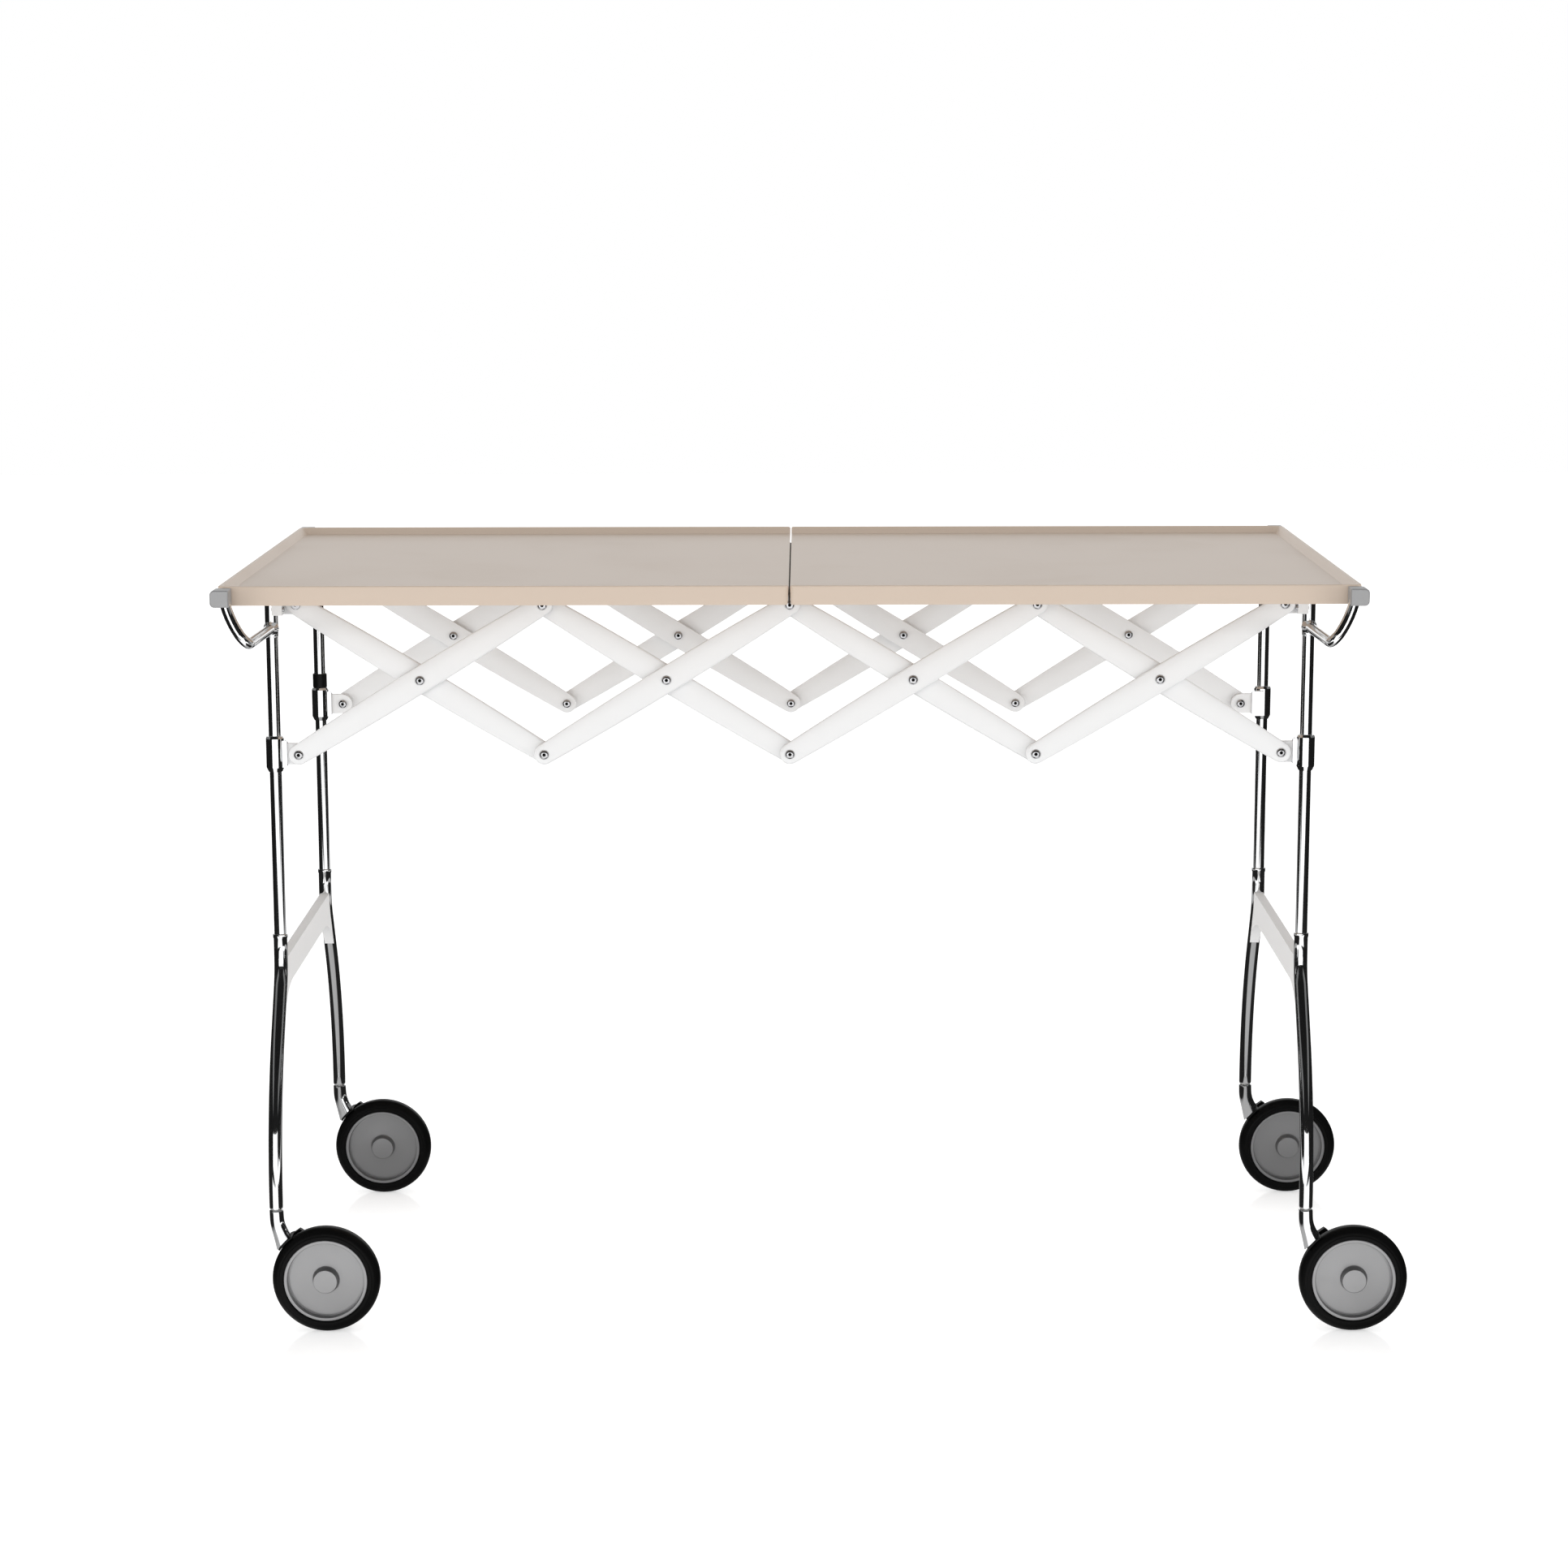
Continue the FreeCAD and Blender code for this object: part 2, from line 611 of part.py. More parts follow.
def make_frame(parts, name, ear_layer_y, flip):
    """One leg frame, drawn at the right. The left one is its mirror image."""
    ear = top_ear(ear_layer_y)
    ear_hole = screw_radius if flip else screw_radius + running_clearance
    ear = ear.cut(rod(ear_hole, 2 * bar_thickness,
                      Vector(end_pivot_x, ear_layer_y - bar_thickness, top_pivot_z), AXIS_Y))
    fasteners = [hinge_pin()] + ear_screws()
    if flip:
        fasteners += pivot_screw(Vector(end_pivot_x, 0, top_pivot_z), inner_layer_y, ear_layer_y,
                                 [inner_layer_y]).Solids
    pin = hinge_pin()
    frame = {
        "leg_tubes": front_and_rear(leg_tube()),
        "lower_legs": front_and_rear(lower_leg()),
        "cross_web": [cross_web()],
        "tray_arms": front_and_rear(arm_blank().cut(pin)),
        "corner_caps": front_and_rear(corner_cap()),
        "top_ears": front_and_rear(ear),
        "frame_fasteners": front_and_rear(Part.makeCompound(fasteners)),
        "caster_bushes": front_and_rear(caster_bush())}
    for piece, solids in frame.items():
        parts[name + "_" + piece] = [mirror_x(solid) for solid in solids] if flip else solids


# ---------------------------------------------------------------- sliding collars
def collar_sleeve(lug_layer_y):
    """A turned sleeve with sloping shoulders and a seat for the lug on its inner side."""
    low = -collar_height / 2
    high = collar_height / 2
    mouth_radius = leg_radius + face_gap
    profile = [(mouth_radius + collar_low_lip, low), (collar_radius, low + collar_shoulder),
               (collar_radius, high - collar_shoulder / 2), (mouth_radius + collar_high_lip, high),
               (mouth_radius, high), (mouth_radius, low)]
    centre = Vector(leg_x, leg_y, bottom_pivot_z)
    sleeve = turned(profile, centre, AXIS_Z)
    seat_low_z = bottom_pivot_z + low + collar_shoulder
    seat_high_z = bottom_pivot_z + high - collar_shoulder
    seat = block(leg_x - collar_radius - lug_seat_proud, leg_x,
                 lug_layer_y - lug_seat_width / 2, lug_layer_y + lug_seat_width / 2, seat_low_z, seat_high_z)
    seat_edges = edges_along(seat, AXIS_Y, lambda middle: middle.x < leg_x - collar_radius)
    seat = seat.makeFillet(lug_seat_round, seat_edges)
    inside = rod(collar_radius - lug_seat_root, seat_high_z - seat_low_z,
                 Vector(leg_x, leg_y, seat_low_z), AXIS_Z)
    seat = seat.cut(inside)
    seat = min(seat.Solids, key=lambda solid: solid.CenterOfMass.x)
    sleeve = sleeve.fuse(seat)
    bush_space = rod(collar_bush_radius, collar_height - 2 * collar_bush_setback,
                     centre - AXIS_Z * (collar_height / 2 - collar_bush_setback), AXIS_Z)
    return sleeve.cut(bush_space)


def collar_bush():
    length = collar_height - 2 * collar_bush_setback
    start = Vector(leg_x, leg_y, bottom_pivot_z - length / 2)
    return tube(collar_bush_radius, leg_radius + running_clearance, length, start, AXIS_Z)


def collar_lug(lug_layer_y, hole_radius):
    y = lug_layer_y - bar_thickness / 2
    seat_x = leg_x - collar_radius - lug_seat_proud
    eye = rod(bar_end_radius, bar_thickness, Vector(end_pivot_x, y, bottom_pivot_z), AXIS_Y)
    plate = block(end_pivot_x, seat_x, y, y + bar_thickness,
                  bottom_pivot_z - lug_height / 2, bottom_pivot_z + lug_height / 2)
    return fused([eye, plate]).cut(rod(hole_radius, bar_thickness,
                                       Vector(end_pivot_x, y, bottom_pivot_z), AXIS_Y))


def make_collars(parts, name, lug_layer_y, flip):
    """The two collars of one frame, drawn at the right."""
    lug_hole = screw_radius + running_clearance if flip else screw_radius
    collars = {
        "collar_sleeves": front_and_rear(collar_sleeve(lug_layer_y)),
        "collar_lugs": front_and_rear(collar_lug(lug_layer_y, lug_hole)),
        "collar_bushes": front_and_rear(collar_bush())}
    if not flip:
        screw = pivot_screw(Vector(end_pivot_x, 0, bottom_pivot_z), inner_layer_y, lug_layer_y,
                            [inner_layer_y])
        collars["collar_screws"] = front_and_rear(screw)
    for piece, solids in collars.items():
        parts[name + "_" + piece] = [mirror_x(solid) for solid in solids] if flip else solids


def stop_ring():
    """The ring on the left rear leg that the collar meets when the table is fully open."""
    start = Vector(-leg_x, leg_y, bottom_pivot_z + collar_height / 2 + face_gap)
    ring = tube(stop_ring_radius, leg_radius, stop_ring_height, start, AXIS_Z)
    outer_rims = [edge for edge in ring.Edges if isinstance(edge.Curve, Part.Circle)
                  and abs(edge.Curve.Radius - stop_ring_radius) < 1e-6]
    return ring.makeChamfer((stop_ring_radius - leg_radius) / 3, outer_rims)


# ---------------------------------------------------------------- tray halves
def tray_outline(inset, z, seam_radius, outer_radius, seam_x):
    """A closed wire: square at the seam but for small corners, rounder at the outer end."""
    x0 = seam_x
    x1 = tray_end_x - inset
    y1 = tray_half_depth - inset
    bend = 1 - math.sqrt(0.5)

    def corner(x_tip, y_tip, x_way, y_way, radius, first_along_x):
        on_x = Vector(x_tip + x_way * radius, y_tip, z)
        on_y = Vector(x_tip, y_tip + y_way * radius, z)
        middle = Vector(x_tip + x_way * radius * bend, y_tip + y_way * radius * bend, z)
        ends = (on_x, on_y) if first_along_x else (on_y, on_x)
        return ends[0], middle, ends[1]

    corners = [corner(x1, -y1, -1, 1, outer_radius, True), corner(x1, y1, -1, -1, outer_radius, False),
               corner(x0, y1, 1, -1, seam_radius, True), corner(x0, -y1, 1, 1, seam_radius, False)]
    edges = []
    for index, (start, middle, end) in enumerate(corners):
        edges.append(Part.Arc(start, middle, end).toShape())
        edges.append(Part.makeLine(end, corners[(index + 1) % 4][0]))
    return Part.Wire(edges)


def tray_pad_places():
    """Where pads rest at the rear: over the top pivot between two crosses, and over the leg."""
    over_pivot = Vector(pivot_spacing * (cross_count / 2 - 1), (inner_layer_y + outer_layer_y) / 2,
                        top_pivot_z + bar_end_radius)
    return [over_pivot, Vector(leg_x, leg_y, leg_top_z)]


def tray_moulding():
    seam_x = seam_gap / 2
    outer = Part.Face(tray_outline(0, tray_bottom_z, tray_seam_corner_radius, tray_outer_corner_radius,
                                   seam_x)).extrude(AXIS_Z * tray_edge_height)
    rim_edges = [edge for edge in outer.Edges
                 if edge.BoundBox.ZLength < 1e-6 and abs(edge.BoundBox.ZMin - table_height) < 1e-6]
    tray = outer.makeFillet(tray_edge_round, rim_edges)

    draft_top_z = table_height - seam_land_height
    draft = Part.Face(Part.makePolygon([
        Vector(seam_x, -tray_depth, draft_top_z),
        Vector(seam_x + seam_draft, -tray_depth, tray_bottom_z),
        Vector(seam_x - seam_draft, -tray_depth, tray_bottom_z),
        Vector(seam_x, -tray_depth, draft_top_z)])).extrude(AXIS_Y * (2 * tray_depth))
    tray = tray.cut(draft)

    pocket_x = -tray_rim_foot_width
    foot_corner = tray_pocket_corner_radius
    top_corner = foot_corner + tray_rim_foot_width - tray_rim_top_width
    foot_wire = tray_outline(tray_rim_foot_width, tray_floor_z, foot_corner, foot_corner, pocket_x)
    top_wire = tray_outline(tray_rim_top_width, table_height, foot_corner, top_corner, pocket_x)
    lid_wire = top_wire.translated(AXIS_Z * tray_rim_height)
    tray = tray.cut(Part.makeLoft([foot_wire, top_wire], True, True))
    tray = tray.cut(Part.Face(lid_wire).extrude(-AXIS_Z * tray_rim_height))

    cavity_corner = tray_outer_corner_radius - tray_wall
    cavity_seam_x = seam_x + seam_draft + tray_wall
    cavity_height = tray_underside_z - tray_bottom_z
    cavity = Part.Face(tray_outline(tray_wall, tray_bottom_z, tray_seam_corner_radius - tray_wall,
                                    cavity_corner, cavity_seam_x)).extrude(AXIS_Z * cavity_height)
    tray = tray.cut(cavity)

    rib_low_z = tray_bottom_z + tray_rib_setback
    rib_top_z = tray_underside_z + tray_floor_thickness / 2
    inside_y = tray_half_depth - tray_wall
    inside_end_x = tray_end_x - tray_wall
    ribs = []
    for index in range(1, tray_rib_count_across + 1):
        middle_x = cavity_seam_x + (inside_end_x - cavity_seam_x) * index / (tray_rib_count_across + 1)
        ribs.append(block(middle_x - tray_rib_thickness / 2, middle_x + tray_rib_thickness / 2,
                          -inside_y, inside_y, rib_low_z, rib_top_z))
    for middle_y in (-inside_y / 3, inside_y / 3):
        ribs.append(block(cavity_seam_x, inside_end_x, middle_y - tray_rib_thickness / 2,
                          middle_y + tray_rib_thickness / 2, rib_low_z, rib_top_z))

    boss_radius = hinge_pin_radius + hinge_boss_wall
    boss_start_y = tray_half_depth - hinge_pin_in_tray
    boss_length = hinge_pin_in_tray - tray_wall
    bosses = []
    for side in (-1, 1):
        start = Vector(hinge_x, side * boss_start_y, hinge_z)
        bosses.append(rod(boss_radius, boss_length, start, AXIS_Y * side))
        y_pair = sorted((side * boss_start_y, side * (boss_start_y + boss_length)))
        bosses.append(block(hinge_x - boss_radius, inside_end_x, y_pair[0], y_pair[1], hinge_z, rib_top_z))
    tray = fused([tray] + ribs + bosses)
    for side in (-1, 1):
        start = Vector(hinge_x, side * (boss_start_y - 1), hinge_z)
        tray = tray.cut(rod(hinge_pin_radius + running_clearance, hinge_pin_in_tray + 2, start,
                            AXIS_Y * side))
    for place in tray_pad_places():
        for side in (-1, 1):
            tray = tray.cut(rod(pad_radius, tray_underside_z - tray_bottom_z,
                                Vector(place.x, side * place.y, tray_bottom_z), AXIS_Z))
    return tray


def tray_pads():
    pads = []
    for place in tray_pad_places():
        low_z = place.z + pad_clearance
        pad = rod(pad_radius, tray_underside_z - low_z, Vector(place.x, place.y, low_z), AXIS_Z)
        lower_rim = [edge for edge in pad.Edges if isinstance(edge.Curve, Part.Circle)
                     and abs(edge.CenterOfMass.z - low_z) < 1e-6]
        pads.append(pad.makeFillet(pad_edge_round, lower_rim))
    return pads


def make_trays(parts):
    right = {"tray": tray_moulding().Solids, "tray_pads": front_and_rear(Part.makeCompound(tray_pads()))}
    for piece, solids in right.items():
        parts["right_" + piece] = solids
        parts["left_" + piece] = [mirror_x(solid) for solid in solids]


# ---------------------------------------------------------------- casters
def tyre():
    """The solid rubber tyre about the wheel's axis, at the origin."""
    half = tyre_width / 2
    bead_half = half - hub_face_setback / 2
    tread = tyre_tread_width / 2
    shoulder_half = tyre_shoulder_width / 2

    def at(radius, along):
        return Vector(radius, along, 0)

    front_shoulder = Part.Arc(at(tyre_side_radius, -half), at(tyre_shoulder_radius, -shoulder_half),
                              at(wheel_radius, -tread))
    rear_shoulder = Part.Arc(at(wheel_radius, tread), at(tyre_shoulder_radius, shoulder_half),
                             at(tyre_side_radius, half))
    section = Part.Wire([
        Part.makeLine(at(tyre_bore_radius, -bead_half), at(tyre_side_radius, -half)),
        front_shoulder.toShape(),
        Part.makeLine(at(wheel_radius, -tread), at(wheel_radius, tread)),
        rear_shoulder.toShape(),
        Part.makeLine(at(tyre_side_radius, half), at(tyre_bore_radius, bead_half)),
        Part.makeLine(at(tyre_bore_radius, bead_half), at(tyre_bore_radius, -bead_half))])
    return Part.Face(section).revolve(ORIGIN, AXIS_Y, 360)


def hub():
    """The wheel centre: a closed face in front, and a ribbed barrel behind that runs on the axle."""
    half = tyre_width / 2
    face = -half + hub_face_setback
    back = half - hub_face_setback
    barrel_back = half + fork_side_gap - face_gap
    lip_inside = tyre_bore_radius - hub_lip_width
    groove_inside = lip_inside - hub_groove_width
    disc_back = face + hub_disc_thickness
    rim_inside = tyre_bore_radius - hub_rim_thickness
    boss_front = face - hub_boss_proud
    profile = [
        (0, boss_front), (hub_boss_radius - hub_boss_edge, boss_front),
        (hub_boss_radius, boss_front + hub_boss_edge),
        (hub_boss_radius, face), (groove_inside, face), (groove_inside, face + hub_groove_depth),
        (lip_inside, face + hub_groove_depth), (lip_inside + hub_lip_proud / 2, face - hub_lip_proud),
        (tyre_bore_radius - hub_lip_proud / 2, face - hub_lip_proud), (tyre_bore_radius, face),
        (tyre_bore_radius, back), (rim_inside, back), (rim_inside, disc_back),
        (hub_barrel_radius, disc_back), (hub_barrel_radius, barrel_back), (0, barrel_back)]
    body = turned(profile, ORIGIN, AXIS_Y)
    spokes = []
    for index in range(hub_spoke_count):
        spoke = block(hub_barrel_radius - 1, rim_inside + hub_rim_thickness / 2, -hub_spoke_thickness / 2,
                      hub_spoke_thickness / 2, disc_back - 1, back - hub_spoke_setback)
        spoke.rotate(ORIGIN, AXIS_X, -90)
        spoke.rotate(ORIGIN, AXIS_Y, 360 / hub_spoke_count * index)
        spokes.append(spoke)
    body = fused([body] + spokes)
    bore_start = boss_front + axle_end_cover
    return body.cut(rod(axle_radius + running_clearance, barrel_back - bore_start,
                        Vector(0, bore_start, 0), AXIS_Y))


def axle():
    half = tyre_width / 2
    front_end = -half + hub_face_setback - hub_boss_proud + axle_end_cover + face_gap
    fork_back = half + fork_side_gap + fork_thickness
    shank = rod(axle_radius, fork_back - front_end, Vector(0, front_end, 0), AXIS_Y)
    head = rod(axle_head_radius, axle_head_height, Vector(0, fork_back, 0), AXIS_Y)
    rims = [edge for edge in head.Edges if isinstance(edge.Curve, Part.Circle)
            and edge.CenterOfMass.y > fork_back + axle_head_height / 2]
    head = head.makeFillet(axle_head_height / 3, rims)
    return shank.fuse(head)


def caster_neck():
    """The chromed swivel neck and its pintle. Its underside follows the tyre. Origin at the axle."""
    top_z = lower_leg_end_height - face_gap - wheel_radius
    low_z = neck_bottom_height - wheel_radius
    waist_z = top_z - (top_z - low_z) * neck_waist_share
    stem_x = -wheel_trail

    def oval(half_length, half_width, shift, z):
        curve = Part.Ellipse(Vector(stem_x + shift, 0, z), half_length, half_width)
        return Part.Wire([curve.toShape()])

    sections = [oval(neck_radius, neck_radius, 0, top_z),
                oval(neck_radius + neck_waist_growth, neck_radius, neck_waist_shift, waist_z),
                oval((neck_radius + neck_bottom_half_length) / 2, neck_side_half_width, neck_middle_shift,
                     (waist_z + low_z) / 2),
                oval(neck_bottom_half_length, neck_side_half_width, neck_bottom_shift, low_z)]
    horn = Part.makeLoft(sections, True, False)
    under = rod(wheel_radius + hood_gap + hood_thickness, 4 * tyre_width, Vector(0, -2 * tyre_width, 0),
                AXIS_Y)
    horn = horn.cut(under)
    pintle = rod(pintle_radius, pintle_length + face_gap + 1, Vector(stem_x, 0, top_z - 1), AXIS_Z)
    return fused([horn, pintle])


def caster_fork():
    """The moulded hood over the tyre and the single side arm that holds the axle."""
    inner_radius = wheel_radius + hood_gap
    outer_radius = inner_radius + hood_thickness
    arm_start = tyre_width / 2 + fork_side_gap
    arm_end = arm_start + fork_thickness
    from_angle = hood_centre_angle - hood_half_angle
    to_angle = hood_centre_angle + hood_half_angle

    def at(radius, degrees, y):
        angle = math.radians(degrees)
        return Vector(radius * math.cos(angle), y, radius * math.sin(angle))

    start_y = -neck_side_half_width
    hood_outline = Part.Wire([
        Part.Arc(at(outer_radius, from_angle, start_y), at(outer_radius, hood_centre_angle, start_y),
                 at(outer_radius, to_angle, start_y)).toShape(),
        Part.makeLine(at(outer_radius, to_angle, start_y), at(inner_radius, to_angle, start_y)),
        Part.Arc(at(inner_radius, to_angle, start_y), at(inner_radius, hood_centre_angle, start_y),
                 at(inner_radius, from_angle, start_y)).toShape(),
        Part.makeLine(at(inner_radius, from_angle, start_y), at(outer_radius, from_angle, start_y))])
    hood = Part.Face(hood_outline).extrude(AXIS_Y * (arm_end - start_y))

    hood_reach = outer_radius - fork_hood_radius
    far = at(hood_reach, hood_centre_angle, arm_start)
    spread = math.asin((fork_axle_radius - fork_hood_radius) / hood_reach)
    along = (far - Vector(0, arm_start, 0)).normalize()
    aside = Vector(-along.z, 0, along.x)
    lean = along * math.sin(spread)
    left = lean + aside * math.cos(spread)
    right = lean - aside * math.cos(spread)
    near = Vector(0, arm_start, 0)
    outline = Part.Wire([
        Part.makeLine(near + left * fork_axle_radius, far + left * fork_hood_radius),
        Part.Arc(far + left * fork_hood_radius, far + along * fork_hood_radius,
                 far + right * fork_hood_radius).toShape(),
        Part.makeLine(far + right * fork_hood_radius, near + right * fork_axle_radius),
        Part.Arc(near + right * fork_axle_radius, near - along * fork_axle_radius,
                 near + left * fork_axle_radius).toShape()])
    arm = Part.Face(outline).extrude(AXIS_Y * fork_thickness)
    fork = fused([hood, arm])
    return fork.cut(rod(axle_radius, fork_thickness * 2, Vector(0, arm_start - 1, 0), AXIS_Y))


def make_casters(parts):
    """Four like casters, all trailing towards the right, with the side arm at the rear."""
    pieces = {"neck": caster_neck(), "fork": caster_fork(), "axle": axle(), "tyre": tyre(), "hub": hub()}
    for end, end_x in (("left", -leg_x), ("right", leg_x)):
        for side, side_y in (("front", -foot_y), ("rear", foot_y)):
            place = Vector(end_x + wheel_trail, side_y, wheel_radius)
            for piece, shape in pieces.items():
                parts["%s_%s_caster_%s" % (end, side, piece)] = [shape.translated(place)]


# ---------------------------------------------------------------- the whole table
def make_table():
    parts = {}
    make_trays(parts)
    make_frame(parts, "left", third_layer_y, True)
    make_frame(parts, "right", inner_layer_y, False)
    parts["left_rear_stop_ring"] = [stop_ring()]
    make_collars(parts, "left", inner_layer_y, True)
    make_collars(parts, "right", third_layer_y, False)
    make_scissor(parts)
    make_casters(parts)
    return parts


def export_table(parts):
    os.makedirs("parts", exist_ok=True)
    for node, solids in parts.items():
        moved = [solid.translated(origin_shift) for solid in solids]
        shape = moved[0] if len(moved) == 1 else Part.makeCompound(moved)
        shape.exportStep("parts/" + node + ".step")


export_table(make_table())
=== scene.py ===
"""The folding room service table, dressed for its picture.

Every piece is in metres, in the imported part's own frame: X along the table, Y from front to rear,
Z up from the floor. The sections follow the table as it is put together, from the leg frames to
the tray halves, and end with the studio it stands in.
"""
import bmesh
import bpy
import math
from mathutils import Matrix, Vector


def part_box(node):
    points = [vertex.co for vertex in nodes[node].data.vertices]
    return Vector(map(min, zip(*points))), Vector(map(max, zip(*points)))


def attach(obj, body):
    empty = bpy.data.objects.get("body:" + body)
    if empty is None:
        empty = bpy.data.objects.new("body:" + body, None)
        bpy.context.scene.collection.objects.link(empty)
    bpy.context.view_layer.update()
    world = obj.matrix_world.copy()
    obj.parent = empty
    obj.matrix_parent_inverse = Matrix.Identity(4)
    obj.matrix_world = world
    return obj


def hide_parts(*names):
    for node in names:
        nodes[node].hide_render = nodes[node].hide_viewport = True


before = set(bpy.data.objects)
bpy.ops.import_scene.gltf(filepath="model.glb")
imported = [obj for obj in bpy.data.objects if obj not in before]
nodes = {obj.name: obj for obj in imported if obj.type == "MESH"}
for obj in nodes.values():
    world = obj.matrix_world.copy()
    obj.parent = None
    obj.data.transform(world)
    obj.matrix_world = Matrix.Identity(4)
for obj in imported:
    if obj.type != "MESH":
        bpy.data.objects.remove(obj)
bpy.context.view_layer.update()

# ---------------------------------------------------------------- the camera
# It stands in front of the table, a little above the tray, and looks slightly down. The place and
# the angles were fitted to the positions of the pivots, the tray corners and the wheels.
VIEW_DISTANCE_PX = 4262.018
VIEW_SHIFT_PX = -11.0
PICTURE_PX = 1932.0
EYE = Vector((-0.018556, -3.303089, 1.061029))
PITCH, YAW, ROLL = 0.172766, -0.0054315, -0.0023853
camera_data = bpy.data.cameras.new("picture_camera")
camera_data.sensor_width = 36.0
camera_data.lens = VIEW_DISTANCE_PX / PICTURE_PX * camera_data.sensor_width
camera_data.shift_y = VIEW_SHIFT_PX / PICTURE_PX
camera_data.clip_start = 0.05
camera_data.clip_end = 100.0
camera = bpy.data.objects.new("picture_camera", camera_data)
bpy.context.scene.collection.objects.link(camera)
ahead = Vector((math.sin(YAW) * math.cos(PITCH), math.cos(YAW) * math.cos(PITCH), -math.sin(PITCH)))
level = Vector((math.cos(YAW), -math.sin(YAW), 0.0))
upright = level.cross(ahead)
across = math.cos(ROLL) * level + math.sin(ROLL) * upright
above = -math.sin(ROLL) * level + math.cos(ROLL) * upright
turned = Matrix((across, above, -ahead)).transposed()
camera.matrix_world = Matrix.Translation(EYE) @ turned.to_4x4()
bpy.context.scene.camera = camera


# ---------------------------------------------------------------- chromed leg tubes
# Two thin steel tubes on each side, bright chromed, stand the full height of the scissor. Their
# plating mirrors the room, with faint cleaning marks and a trace of unevenness.
def srgb(red, green, blue):
    """A screen colour, 0 to 255, as the linear colour that a shader takes."""
    def linear(value):
        share = value / 255.0
        return share / 12.92 if share <= 0.04045 else ((share + 0.055) / 1.055) ** 2.4
    return linear(red), linear(green), linear(blue), 1.0


class Sheet:
    """A node tree with short ways to add a node, to join sockets and to write sums."""

    def __init__(self, tree):
        self.tree = tree

    def add(self, kind, **values):
        node = self.tree.nodes.new(kind)
        for name, value in values.items():
            setattr(node, name, value)
        return node

    def join(self, source, target):
        self.tree.links.new(source, target)

    def sum(self, operation, *values):
        """One arithmetic node; each value is a number or a socket."""
        node = self.add("ShaderNodeMath", operation=operation)
        for index, value in enumerate(values):
            if isinstance(value, (int, float)):
                node.inputs[index].default_value = value
            else:
                self.join(value, node.inputs[index])
        return node.outputs[0]

    def fade(self, value, start, end):
        """Rises smoothly from nothing at start to one at end."""
        node = self.add("ShaderNodeMapRange", interpolation_type="SMOOTHSTEP")
        node.inputs["From Min"].default_value = start
        node.inputs["From Max"].default_value = end
        self.join(value, node.inputs["Value"])
        return node.outputs["Result"]


def shared_group(name, inputs, outputs):
    """An empty shader group with named sockets; returns its sheet and its two end nodes."""
    group = bpy.data.node_groups.new(name, "ShaderNodeTree")
    for socket, kind, value in inputs:
        made = group.interface.new_socket(name=socket, in_out="INPUT", socket_type=kind)
        made.default_value = value
    for socket, kind in outputs:
        group.interface.new_socket(name=socket, in_out="OUTPUT", socket_type=kind)
    sheet = Sheet(group)
    return sheet, sheet.add("NodeGroupInput"), sheet.add("NodeGroupOutput")


def speckle(sheet, given, count, detail, distortion=0.0):
    """A noise fixed to the piece; a group's input gives how many patches there are to a metre."""
    where = sheet.add("ShaderNodeTexCoord")
    noise = sheet.add("ShaderNodeTexNoise")
    noise.inputs["Detail"].default_value = detail
    noise.inputs["Distortion"].default_value = distortion
    sheet.join(where.outputs["Object"], noise.inputs["Vector"])
    sheet.join(given.outputs[count], noise.inputs["Scale"])
    return noise.outputs["Fac"]


def shade_drift_group():
    """Slow lighter and darker drifts in a colour, as no real finish is quite even."""
    sheet, given, result = shared_group(
        "shade_drift",
        [("Color", "NodeSocketColor", (0.5, 0.5, 0.5, 1.0)), ("Drift", "NodeSocketFloat", 0.06),
         ("Patches Per Metre", "NodeSocketFloat", 12.0), ("Grain", "NodeSocketFloat", 0.02),
         ("Grains Per Metre", "NodeSocketFloat", 900.0)],
        [("Color", "NodeSocketColor")])
    tone = 1.0
    for count, amount, detail in (("Patches Per Metre", "Drift", 3.0),
                                  ("Grains Per Metre", "Grain", 1.0)):
        centred = sheet.sum("SUBTRACT", speckle(sheet, given, count, detail), 0.5)
        tone = sheet.sum("MULTIPLY_ADD", centred, given.outputs[amount], tone)
    tinted = sheet.add("ShaderNodeVectorMath", operation="SCALE")
    sheet.join(given.outputs["Color"], tinted.inputs[0])
    sheet.join(tone, tinted.inputs["Scale"])
    sheet.join(tinted.outputs["Vector"], result.inputs["Color"])
    return sheet.tree


def handling_group():
    """A roughness that rises in soft smears, as left by hands and a cleaning cloth."""
    sheet, given, result = shared_group(
        "handling_marks",
        [("Roughness", "NodeSocketFloat", 0.3), ("Smears", "NodeSocketFloat", 0.1),
         ("Smears Per Metre", "NodeSocketFloat", 30.0)],
        [("Roughness", "NodeSocketFloat")])
    smear = sheet.fade(speckle(sheet, given, "Smears Per Metre", 4.0, 0.6), 0.45, 0.75)
    sheet.join(sheet.sum("MULTIPLY_ADD", smear, given.outputs["Smears"], given.outputs["Roughness"]),
               result.inputs["Roughness"])
    return sheet.tree


def grain_group():
    """A fine pebbled height for moulded and sprayed surfaces."""
    sheet, given, result = shared_group(
        "fine_pebbles",
        [("Pebbles Per Metre", "NodeSocketFloat", 1200.0), ("Waves Per Metre", "NodeSocketFloat", 25.0),
         ("Waves", "NodeSocketFloat", 0.3)],
        [("Height", "NodeSocketFloat")])
    pebbles = speckle(sheet, given, "Pebbles Per Metre", 2.0)
    waves = speckle(sheet, given, "Waves Per Metre", 1.0)
    sheet.join(sheet.sum("MULTIPLY_ADD", waves, given.outputs["Waves"], pebbles),
               result.inputs["Height"])
    return sheet.tree


SHADE_DRIFT = shade_drift_group()
HANDLING_MARKS = handling_group()
FINE_PEBBLES = grain_group()


